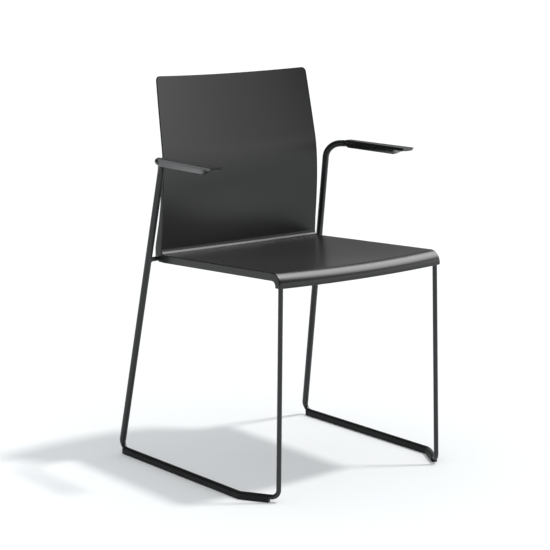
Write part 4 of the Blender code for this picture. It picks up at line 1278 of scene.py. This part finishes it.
notch_radius = RUNNER_RADIUS + NEST_GAP
notch_outline = [(-notch_radius, -BAR_NOTCH_DEPTH), (notch_radius, -BAR_NOTCH_DEPTH)]
for turn in steps_between(0.0, math.pi, NOTCH_STEPS):
    notch_outline.append((notch_radius * math.cos(turn), notch_radius * math.sin(turn)))
cut_away(moulded_shell, *prism(notch_outline, notch_point))
shade(moulded_shell.data, SHELL_CRISP)
print("shell with bar slots", len(moulded_shell.data.polygons), "faces")

# %% [markdown]
# ### Ribs and screw bosses under the seat
#
# Under the seat a light grid of ribs keeps the wall from drumming, and four hollow bosses take the screws.
# Both taper towards their free edge, because they have to leave the mould, and are rooted in the wall above.

# %% Seat ribs
RIB_THICKNESS = 0.0024
LONG_RIB_DEPTH = 0.0075
LONG_RIB_OVERRUN = 0.0090
CROSS_RIB_DEPTH = 0.0069
RIB_ROOT = 0.0012
RIB_EDGE_ROUND = 0.0005
LONG_RIBS = 4
LONG_RIB_SPACING = 0.0800
RIB_SIDE_INSET = 0.0250
FIRST_CROSS_RIB = SEAT_FRONT_Y + 0.0955
LAST_CROSS_RIB = BACK_FOOT_Y - 0.1100


def underside_height(x, y):
    """Underside of the seat's wall at a place away from the rims and bends."""
    place = seat_station(y, seat_edge_height(y))
    crown = 1.0 - (x / place["full"]) ** 2
    middle = seat_station(y - place["shift"] * crown, 0.0)
    return seat_edge_height(y - place["shift"] * crown) - middle["dish"] * crown - SEAT_WALL


def rib(spots, sideways, depth):
    """A drafted rib with a rounded foot along a row of spots; sideways is the unit vector across it."""
    # Each pair is a share of the rib's thickness and a way down from the wall.
    flank = depth - RIB_EDGE_ROUND * 1.6
    shoulder = depth - RIB_EDGE_ROUND * 0.5
    half = [(0.5, -RIB_ROOT), (0.47, flank), (0.42, shoulder), (0.28, depth)]
    section = half + [(-across, fall) for across, fall in reversed(half)]
    points = []
    rings = []
    for spot in spots:
        under = underside_height(spot.x, spot.y)
        ring = []
        for across, fall in section:
            at = spot + sideways * (across * RIB_THICKNESS)
            ring.append(Vector((at.x, at.y + CHAIR_SHIFT, under - fall)))
        add_ring(points, rings, ring)
    return points, ring_faces(rings) + end_caps(rings)


cross_rib_places = steps_between(FIRST_CROSS_RIB, LAST_CROSS_RIB, 2)
rib_reach = SEAT_HALF_WIDTH - RIB_SIDE_INSET
ribs = []
for number in range(LONG_RIBS):
    x = LONG_RIB_SPACING * (number - (LONG_RIBS - 1) / 2.0)
    ends = (cross_rib_places[0] - LONG_RIB_OVERRUN, cross_rib_places[-1] + LONG_RIB_OVERRUN)
    spots = [Vector((x, y, 0.0)) for y in steps_between(*ends, 20)]
    ribs.append(rib(spots, Vector((1.0, 0.0, 0.0)), LONG_RIB_DEPTH))
for y in cross_rib_places:
    spots = [Vector((x, y, 0.0)) for x in steps_between(-rib_reach, rib_reach, 32)]
    ribs.append(rib(spots, Vector((0.0, 1.0, 0.0)), CROSS_RIB_DEPTH))
seat_ribs = chair_piece("seat_ribs", *joined(ribs), shell_plastic, ["seat_shell"], crisp=30.0)
print("ribs", len(ribs))

# %% Screw bosses
BOSS_RADIUS = 0.0058
BOSS_SIDES = 40
BOSS_DRAFT = 0.0001
BOSS_FOOT_ROUND = 0.0004
BOSS_FILLET = 0.0014
BOSS_FILLET_MIDDLE = 0.0008
BOSS_ROOT = 0.0010
BORE_TAPER = 0.94
BORE_DOME = 0.0002
BORE_ENDS_BELOW_WALL = 0.0012
SHELL_SCREW_RADIUS = 0.0020
FIXING_FROM_RAIL = 0.0250
FIXING_PLACES = {"front": SEAT_FRONT_Y + 0.0605, "rear": BACK_FOOT_Y - 0.0700}


def rail_at(y):
    front = front_leg_top()
    rear = rear_rail_end()
    return Vector((blend(front.x, rear.x, (y - front.y) / (rear.y - front.y)), y, rail_height(y)))


def fixing_matrix(y, side):
    """Origin level with the rail's axis at the screw, local Y along the sloping rail."""
    rail = rail_at(y)
    at = Vector((side * (rail.x - FIXING_FROM_RAIL), y + CHAIR_SHIFT, rail.z))
    return Matrix.Translation(at) @ Matrix.Rotation(-SEAT_ANGLE, 4, "X")


def boss_shape(y, side):
    """A hollow drafted boss from the lug up into the seat's wall, with a fillet at its root."""
    matrix = fixing_matrix(y, side)
    at = matrix.translation
    wall = (matrix.inverted() @ Vector((at.x, at.y, underside_height(at.x, y)))).z
    foot = -RUNNER_RADIUS
    hole = SHELL_SCREW_RADIUS + SEAT_GAP
    outer = BOSS_RADIUS + BOSS_DRAFT
    fillet = BOSS_RADIUS + BOSS_FILLET
    profile = [
        (0.0, wall - BORE_ENDS_BELOW_WALL - BORE_DOME),
        (hole * BORE_TAPER, wall - BORE_ENDS_BELOW_WALL),
        (hole, foot + BOSS_ROOT),
        (hole + BOSS_FOOT_ROUND, foot),
        (BOSS_RADIUS - BOSS_DRAFT - BOSS_FOOT_ROUND, foot),
        (BOSS_RADIUS - BOSS_DRAFT, foot + BOSS_FOOT_ROUND),
        (outer, wall - BOSS_FILLET - BOSS_FOOT_ROUND),
        (outer + BOSS_FOOT_ROUND, wall - BOSS_FILLET_MIDDLE),
        (fillet, wall + BOSS_DRAFT),
        (fillet, wall + BOSS_ROOT),
        (0.0, wall + BOSS_ROOT),
    ]
    points, faces = turned(profile, BOSS_SIDES)
    return [matrix @ point for point in points], faces


bosses = [boss_shape(y, side) for y in FIXING_PLACES.values() for side, _ in SIDES]
screw_bosses = chair_piece("screw_bosses", *joined(bosses), shell_plastic, ["seat_shell"], crisp=30.0)
print("bosses", len(bosses))

# %% [markdown]
# ## The side frames
#
# Each side is swept along its centre line with a round section. The arm and the rear leg are the full bar. It
# is drawn down to the runner's size round the rear floor bend, so the radius changes along the path.

# %% Side frames
for side, word in SIDES:
    line = side_bar_line()
    shape = swept_tube([placed(point, side) for point, _ in line], [radius for _, radius in line])
    bent_bar = chair_piece(f"{word}_bent_bar", *shape, frame_coat, [f"{word}_side_frame"], crisp=40.0)
    print(bent_bar.name, len(bent_bar.data.polygons), "faces")

# %% [markdown]
# ## Cross bars and welds
#
# Two straight bars hold the sides apart: one in front, hidden in the fold of the lip, and one behind the seat
# that runs out through the shell's slots to the rear legs. Their ends are set into the side bars, and a
# small rippled bead of weld covers each joint.

# %% Cross bars
BAR_END_IN_LEG = 0.6
ROD_STEPS = 12


def rear_bar_end(side):
    leg = rear_leg_at(REAR_BAR_Z)
    return Vector((side * (leg.x - LEG_RADIUS * BAR_END_IN_LEG), leg.y + CHAIR_SHIFT, REAR_BAR_Z))


def front_bar_end(side):
    top = front_leg_top()
    x = top.x - RUNNER_RADIUS * BAR_END_IN_LEG
    return Vector((side * x, top.y + FRONT_BAR_SET_BACK + CHAIR_SHIFT, FRONT_BAR_Z))


for name, end_at in (("rear", rear_bar_end), ("front", front_bar_end)):
    shape = swept_tube(steps_between(end_at(-1), end_at(1), ROD_STEPS), [RUNNER_RADIUS] * (ROD_STEPS + 1))
    rod = chair_piece(f"{name}_straight_bar", *shape, frame_coat, [f"{name}_cross_bar"], crisp=40.0)
    print(rod.name, round((end_at(1) - end_at(-1)).length, 4), "m")

# %% Weld bead helpers
BEAD_RADIUS = 0.0012
BEAD_SIDES = 12
RIPPLES_PER_METRE = 900.0
RIPPLE_SHARE = 0.13
SEAM_POINTS = 72
LEAST_TAPER = 0.02
TAPER_POWER = 0.4
OFF_EVERY_SEAM = Vector((0.31, 0.87, 0.38))


def joint_seam(start, along, radius, leg_point, leg_along, leg_radius):
    """The closed line where a bar that leaves a point in a direction comes out of a leg."""
    across = along.orthogonal().normalized()
    flat_along = along - leg_along * along.dot(leg_along)
    a = flat_along.length_squared
    seam = []
    for offset in circle(start - leg_point, across, along.cross(across), radius, SEAM_POINTS):
        flat_offset = offset - leg_along * offset.dot(leg_along)
        b = flat_offset.dot(flat_along)
        c = flat_offset.length_squared - leg_radius ** 2
        way = (-b + math.sqrt(max(b * b - a * c, 0.0))) / a
        seam.append(leg_point + offset + along * way)
    return seam


def weld_bead(seam, closed=True, radius=BEAD_RADIUS):
    """A rippled bead along a seam; an open bead runs out to nothing at its ends."""
    points = []
    rings = []
    run = 0.0
    count = len(seam)
    for index, at in enumerate(seam):
        before = seam[index - 1] if closed or index else at
        after = seam[(index + 1) % count] if closed or index < count - 1 else at
        along = (after - before).normalized()
        run += (at - before).length if index else 0.0
        ripple = 1.0 + RIPPLE_SHARE * math.sin(2.0 * math.pi * RIPPLES_PER_METRE * run)
        swell = 1.0 if closed else max(math.sin(math.pi * index / (count - 1)), LEAST_TAPER)
        taper = swell ** TAPER_POWER
        across = along.cross(OFF_EVERY_SEAM).normalized()
        add_ring(points, rings, circle(at, across, along.cross(across), radius * ripple * taper, BEAD_SIDES))
    return points, ring_faces(rings, closed) + ([] if closed else end_caps(rings))


print("bead", BEAD_RADIUS, "m")

# %% Weld beads
LUG_BEAD_RADIUS = 0.0011
LUG_BEAD_REACH = 0.0095
LUG_BEADS = ((0.0036, 0.0009), (-0.0006, -0.0007))
LUG_BEAD_STEPS = 40
RAIL_SEAM_SHARE = 0.94
FRONT_SEAM_SHARE = 0.97


def side_welds(side):
    """Beads of one side: rear bar on leg, rail on rear bar, front bar on leg, and both edges of each lug."""
    inward = Vector((-side, 0.0, 0.0))
    leg = placed(rear_leg_at(REAR_BAR_Z), side)
    leg_along = (placed(rear_leg_at(REAR_BAR_Z + 0.1), side) - leg).normalized()
    seams = [joint_seam(leg, inward, RUNNER_RADIUS, leg, leg_along, LEG_RADIUS)]
    rail_end = placed(rear_rail_end(), side)
    bar_point = Vector((rail_end.x, rail_end.y, REAR_BAR_Z))
    rail_along = (placed(rail_at(0.0), side) - rail_end).normalized()
    rail_radius = RUNNER_RADIUS * RAIL_SEAM_SHARE
    seams.append(joint_seam(rail_end, rail_along, rail_radius, bar_point, inward, RUNNER_RADIUS))
    corners = [floor_corners()[-1], front_leg_top(), rear_rail_end()]
    front_path = [placed(point, side) for point in bent_path(corners, [UNDER_LIP_BEND])]
    bar_start = placed(front_leg_top() + Vector((0.0, FRONT_BAR_SET_BACK, 0.0)), side)
    bar_start.z = FRONT_BAR_Z
    near = min(range(1, len(front_path) - 1), key=lambda index: (front_path[index] - bar_start).length)
    bend_along = (front_path[near + 1] - front_path[near - 1]).normalized()
    front_radius = RUNNER_RADIUS * FRONT_SEAM_SHARE
    seams.append(joint_seam(bar_start, inward, front_radius, front_path[near], bend_along, RUNNER_RADIUS))
    beads = [weld_bead(seam) for seam in seams]
    for y in FIXING_PLACES.values():
        matrix = fixing_matrix(y, side)
        for from_axis, rise in LUG_BEADS:
            x = side * (FIXING_FROM_RAIL - from_axis)
            z = rise - RUNNER_RADIUS - SEAT_GAP
            places = steps_between(-LUG_BEAD_REACH, LUG_BEAD_REACH, LUG_BEAD_STEPS)
            spots = [matrix @ Vector((x, along, z)) for along in places]
            beads.append(weld_bead(spots, closed=False, radius=LUG_BEAD_RADIUS))
    return beads


for side, word in SIDES:
    beads = side_welds(side)
    welds = chair_piece(f"{word}_weld_beads", *joined(beads), frame_coat, (), crisp=60.0)
    print(welds.name, len(beads), "beads")

# %% [markdown]
# ### Fixing lugs
#
# A flat steel tongue under each rail carries the shell's screw. It is a stamped plate: flat faces, a small
# rounded edge and a punched hole. Around the hole every direction meets the outline once, so a fan of rays
# gives both edges with the same number of points, and the faces between them are clean quads.

# %% Lug plates
LUG_THICKNESS = 0.0030
LUG_HALF_WIDTH = 0.0105
LUG_EDGE = 0.0004
HOLE_EDGE = 0.0003
LUG_ARC_STEPS = (8, 12, 32, 12)
CORNER_BULGE = 0.3
ALMOST_ZERO = 0.000001


def lug_outline(inset):
    """The lug's outline round its hole: half round at the inner end and square at the rail."""
    half = LUG_HALF_WIDTH - inset
    outer = FIXING_FROM_RAIL - inset
    corner = math.atan2(half, outer)
    limits = (-corner, corner, math.pi / 2.0, 1.5 * math.pi, 2.0 * math.pi - corner)
    outline = []
    for first, last, count in zip(limits, limits[1:], LUG_ARC_STEPS):
        for angle in steps_between(first, last, count)[:-1]:
            reach = half
            if math.cos(angle) > ALMOST_ZERO:
                reach = min(outer / math.cos(angle), half / max(abs(math.sin(angle)), ALMOST_ZERO))
            outline.append((reach * math.cos(angle), reach * math.sin(angle), angle))
    return outline


def lug_plate(y, side):
    top = -(RUNNER_RADIUS + SEAT_GAP)
    bottom = top - LUG_THICKNESS
    hole = SHELL_SCREW_RADIUS + SEAT_GAP * 2.0
    hole_levels = ((HOLE_EDGE, top), (0.0, top - HOLE_EDGE), (0.0, bottom + HOLE_EDGE), (HOLE_EDGE, bottom))
    corner = ((LUG_EDGE, 0.0), (LUG_EDGE * CORNER_BULGE, LUG_EDGE * CORNER_BULGE), (0.0, LUG_EDGE))
    edge_levels = [(inset, bottom + up) for inset, up in corner]
    edge_levels += [(inset, top - up) for inset, up in reversed(corner)]
    matrix = fixing_matrix(y, side)
    rows = []
    for widening, height in hole_levels:
        angles = [angle for _, _, angle in lug_outline(0.0)]
        radius = hole + widening
        rows.append([(radius * math.cos(angle), radius * math.sin(angle), height) for angle in angles])
    for inset, height in edge_levels:
        rows.append([(x, across, height) for x, across, _ in lug_outline(inset)])
    points = []
    rings = []
    for row in rows:
        add_ring(points, rings, [matrix @ Vector((side * x, across, height)) for x, across, height in row])
    return points, ring_faces(rings, True)


for place, y in FIXING_PLACES.items():
    for side, word in SIDES:
        node = f"{place}_{word}_lug"
        plate = chair_piece(f"{node}_plate", *lug_plate(y, side), frame_coat, [node], crisp=35.0)
print("lug plates", len(SIDES) * len(FIXING_PLACES))

# %% [markdown]
# ## Armrest pads
#
# Each pad is a moulding that slides over the arm's end: a flat plate that widens forward, with a creased
# keel under it. The plate's top edges are only lightly rounded, so the pad catches a thin line of light all
# round, and a painted highlight on the rounded top edge and the ledge below it makes that line brighter.
# The section is swept forward, and the nose is undercut.

# %% Pad section
PAD_LENGTH = 0.1935
PAD_REAR_WIDTH = 0.0160
PAD_FRONT_WIDTH = 0.0300
PAD_PLATE = 0.0066
PAD_EDGE_ROUND = 0.0009
PAD_LOWER_ROUND = 0.6 * PAD_EDGE_ROUND
PAD_LEDGE = 0.0012
PAD_CORNER = 0.0015
PAD_TAIL_CORNER = 0.6 * PAD_CORNER
PAD_TAIL_FLAT = 0.0002
PAD_KEEL_DEPTH = 0.0108
PAD_KEEL_WIDTH = 0.0104
PAD_KEEL_FRONT = 0.1500
PAD_KEEL_NOSE = 0.0280
PAD_KEEL_TAIL = 0.0040
PAD_TAIL_LIFT = 0.0016
LEAST_KEEL = 0.0006
KEEL_ROUND = 0.0008
KEEL_CREASE = (0.32, 0.45)


def pad_section(along):
    """Half section of the pad: distance from the middle, height, how far under the plate, painted highlight
    mask.
    """
    half = blend(PAD_REAR_WIDTH, PAD_FRONT_WIDTH, along / PAD_LENGTH) / 2.0
    half -= corner_loss(along + PAD_TAIL_FLAT, PAD_TAIL_CORNER) + corner_loss(PAD_LENGTH - along, PAD_CORNER)
    keel = PAD_KEEL_DEPTH - PAD_TAIL_LIFT * (1.0 - min(along / PAD_KEEL_TAIL, 1.0)) ** 2
    keel = max(keel * (1.0 - max(0.0, (along - PAD_KEEL_FRONT) / PAD_KEEL_NOSE)), LEAST_KEEL)
    bottom = ARM_HEIGHT - PAD_PLATE
    foot = PAD_KEEL_WIDTH / 2.0
    rows = []
    # The last value of each row masks the painted highlight: full on the rounded top edge, 0.6 on the ledge.
    for angle in steps_between(0.0, math.pi / 2.0, 4):
        out = half - PAD_EDGE_ROUND * (1.0 - math.sin(angle))
        rows.append((out, ARM_HEIGHT - PAD_EDGE_ROUND * (1.0 - math.cos(angle)), 0.1 * angle, 1.0))
    rows.append((half, (ARM_HEIGHT - PAD_EDGE_ROUND + bottom + PAD_LOWER_ROUND) / 2.0, 0.55, 0.0))
    for angle in steps_between(0.0, math.pi / 2.0, 3):
        out = half - PAD_LEDGE * (1.0 - math.cos(angle))
        rows.append((out, bottom + PAD_LOWER_ROUND * (1.0 - math.sin(angle)), 1.0, 0.6))
    inward, down = KEEL_CREASE
    soft = min(KEEL_ROUND, keel * 0.3)
    rows.append((blend(half - PAD_LEDGE, foot, inward), bottom - keel * down, 1.0, 0.0))
    for out, up in ((soft * 0.25, soft), (-soft * 0.25, soft * 0.25), (-soft, 0.0)):
        rows.append((foot + out, bottom - keel + up, 1.0, 0.0))
    return rows


print("rows of half a pad section", len(pad_section(0.0)))

# %% Armrest pads
PAD_NOSE_UNDERCUT = 0.0045
PAD_NOSE_POWER = 8
PAD_TAIL_PLACES = [0.0, 0.0003, 0.0006, PAD_CORNER, 0.0025, PAD_KEEL_TAIL]
PAD_SCREW_PLACES = {"rear": 0.0220, "front": 0.0900}
PAD_SCREW_RADIUS = 0.0016
PAD_SCREW_HEAD_RADIUS = 0.0033
PAD_SCREW_HEAD = 0.0020
PAD_SCREW_BITE = 0.0045
PAD_POCKET_DEPTH = 0.0045


def pad_shape(side):
    keel_end = PAD_KEEL_FRONT + PAD_KEEL_NOSE
    places = PAD_TAIL_PLACES + steps_between(2.0 * PAD_KEEL_TAIL, PAD_KEEL_FRONT, 16)
    places += steps_between(PAD_KEEL_FRONT, keel_end, 8)[1:]
    places += steps_between(keel_end, PAD_LENGTH - PAD_CORNER, 3)[1:-1]
    for turn in steps_between(0.0, math.pi / 2.0, 6):
        places.append(PAD_LENGTH - PAD_CORNER * (1.0 - math.sin(turn)))
    points = []
    rings = []
    mask = []
    for along in places:
        tip = (along / PAD_LENGTH) ** PAD_NOSE_POWER
        section = pad_section(along)
        ring = []
        for mirror, rows in ((1.0, section), (-1.0, list(reversed(section)))):
            for out, height, under, edge in rows:
                line = arm_line_at(along - PAD_NOSE_UNDERCUT * tip * under)
                ring.append(placed(Vector((line.x + mirror * out, line.y, height)), side))
                mask.append(edge)
        add_ring(points, rings, ring)
    faces = ring_faces(rings)
    size = len(rings[0])
    for ring in (rings[0], rings[-1]):
        for index in range(size // 2 - 1):
            faces.append([ring[index], ring[index + 1], ring[size - 2 - index], ring[size - 1 - index]])
    return points, faces, mask


def pad_screw_seat(side, along):
    """Where the screw's head rests in its pocket."""
    at = placed(arm_line_at(along), side)
    at.z = ARM_HEIGHT - PAD_PLATE - PAD_KEEL_DEPTH + PAD_SCREW_HEAD + SEAT_GAP * 2.0
    return at


pocket_radius = PAD_SCREW_HEAD_RADIUS + SEAT_GAP
pocket_points, pocket_faces = turned(
    [(0.0, 0.0), (pocket_radius, 0.0), (pocket_radius, -PAD_POCKET_DEPTH), (0.0, -PAD_POCKET_DEPTH)], 40)
for side, word in SIDES:
    pad_points, pad_faces, pad_mask = pad_shape(side)
    pad = chair_piece(
        f"{word}_moulded_pad", pad_points, pad_faces, pad_plastic, [f"{word}_armrest_pad"], crisp=28.0,
        masks={"edge": pad_mask})
    for along in PAD_SCREW_PLACES.values():
        seat = pad_screw_seat(side, along)
        cut_away(pad, [seat + point for point in pocket_points], pocket_faces)
    print(pad.name, len(pad.data.polygons), "faces")

# %% [markdown]
# ## Screws
#
# Eight pan-head screws hold the shell and the pads. A screw is a turned profile with a domed head and a
# threaded shank, and the cross recess is cut into the head as a tapered cross.

# %% Screw helpers
THREAD_ROOT = 0.8
THREAD_PITCH = 0.7
TIP_SHARE = 0.35
HEAD_EDGE = 0.0002
FLAT_SHARE = 0.35
CROSS_REACH = 0.62
CROSS_WIDTH = 0.13
# Width against the cross's own, and height against the head's.
CROSS_MOUTH = (1.08, 1.2)
CROSS_FLOOR = (0.45, 0.35)
SCREW_SIDES = 36
SCREW_CRISP = 32.0


def screw_profile(radius, head_radius, head, grip):
    """Radius and height from the head's top (lowest) to the shank's tip; the head's seat is at 0."""
    profile = [(0.0, -head)]
    for turn in steps_between(0.0, math.pi / 2.0, 10)[1:]:
        profile.append((head_radius * math.sin(turn), -head * blend(math.cos(turn), 1.0, FLAT_SHARE)))
    profile += [(head_radius, -HEAD_EDGE), (head_radius - HEAD_EDGE, 0.0), (radius, 0.0)]
    pitch = radius * THREAD_PITCH
    root = radius * THREAD_ROOT
    height = pitch
    while height + pitch < grip - radius:
        profile += [(root, height), (radius, height + pitch * 0.5)]
        height += pitch
    return profile + [(root, grip - radius), (radius * TIP_SHARE, grip), (0.0, grip)]


def cross_recess(head_radius, head):
    """A tapered cross that is cut into the head."""
    arm = head_radius * CROSS_REACH
    wing = head_radius * CROSS_WIDTH
    plus = [(arm, wing), (wing, wing), (wing, arm), (-wing, arm), (-wing, wing), (-arm, wing)]
    plus += [(-x, -y) for x, y in plus]

    def recess_point(end, across, up):
        share, depth = CROSS_FLOOR if end else CROSS_MOUTH
        return Vector((across * share, up * share, -head * depth))

    return prism(plus, recess_point)


def pan_screw(node, matrix, radius, head_radius, head, grip):
    points, faces = turned(screw_profile(radius, head_radius, head, grip), SCREW_SIDES)
    screw = chair_piece(
        f"{node}_turned", [matrix @ point for point in points], faces, screw_zinc, [node], crisp=SCREW_CRISP)
    cross_points, cross_faces = cross_recess(head_radius, head)
    cut_away(screw, [matrix @ point for point in cross_points], cross_faces)
    screw.data.set_sharp_from_angle(angle=math.radians(SCREW_CRISP))
    return screw


print("thread pitch of a shell screw", round(SHELL_SCREW_RADIUS * THREAD_PITCH, 5))

# %% Screws
SHELL_SCREW_HEAD_RADIUS = 0.0042
SHELL_SCREW_HEAD = 0.0026
SHELL_SCREW_BITE = 0.0086

screws = []
lug_bottom = -(RUNNER_RADIUS + SEAT_GAP * 2.0 + LUG_THICKNESS)
shell_screw_grip = LUG_THICKNESS + SHELL_SCREW_BITE
shell_screw = (SHELL_SCREW_RADIUS, SHELL_SCREW_HEAD_RADIUS, SHELL_SCREW_HEAD, shell_screw_grip)
for place, y in FIXING_PLACES.items():
    for side, word in SIDES:
        seat = fixing_matrix(y, side) @ Matrix.Translation((0.0, 0.0, lug_bottom))
        screws.append(pan_screw(f"{place}_{word}_shell_screw", seat, *shell_screw))
pad_screw = (PAD_SCREW_RADIUS, PAD_SCREW_HEAD_RADIUS, PAD_SCREW_HEAD)
for label, along in PAD_SCREW_PLACES.items():
    for side, word in SIDES:
        seat = pad_screw_seat(side, along) - Vector((0.0, 0.0, SEAT_GAP))
        grip = ARM_AXIS - SPIGOT_RADIUS + PAD_SCREW_BITE - seat.z
        screws.append(pan_screw(f"{word}_pad_{label}_screw", Matrix.Translation(seat), *pad_screw, grip))
print("screws", len(screws))
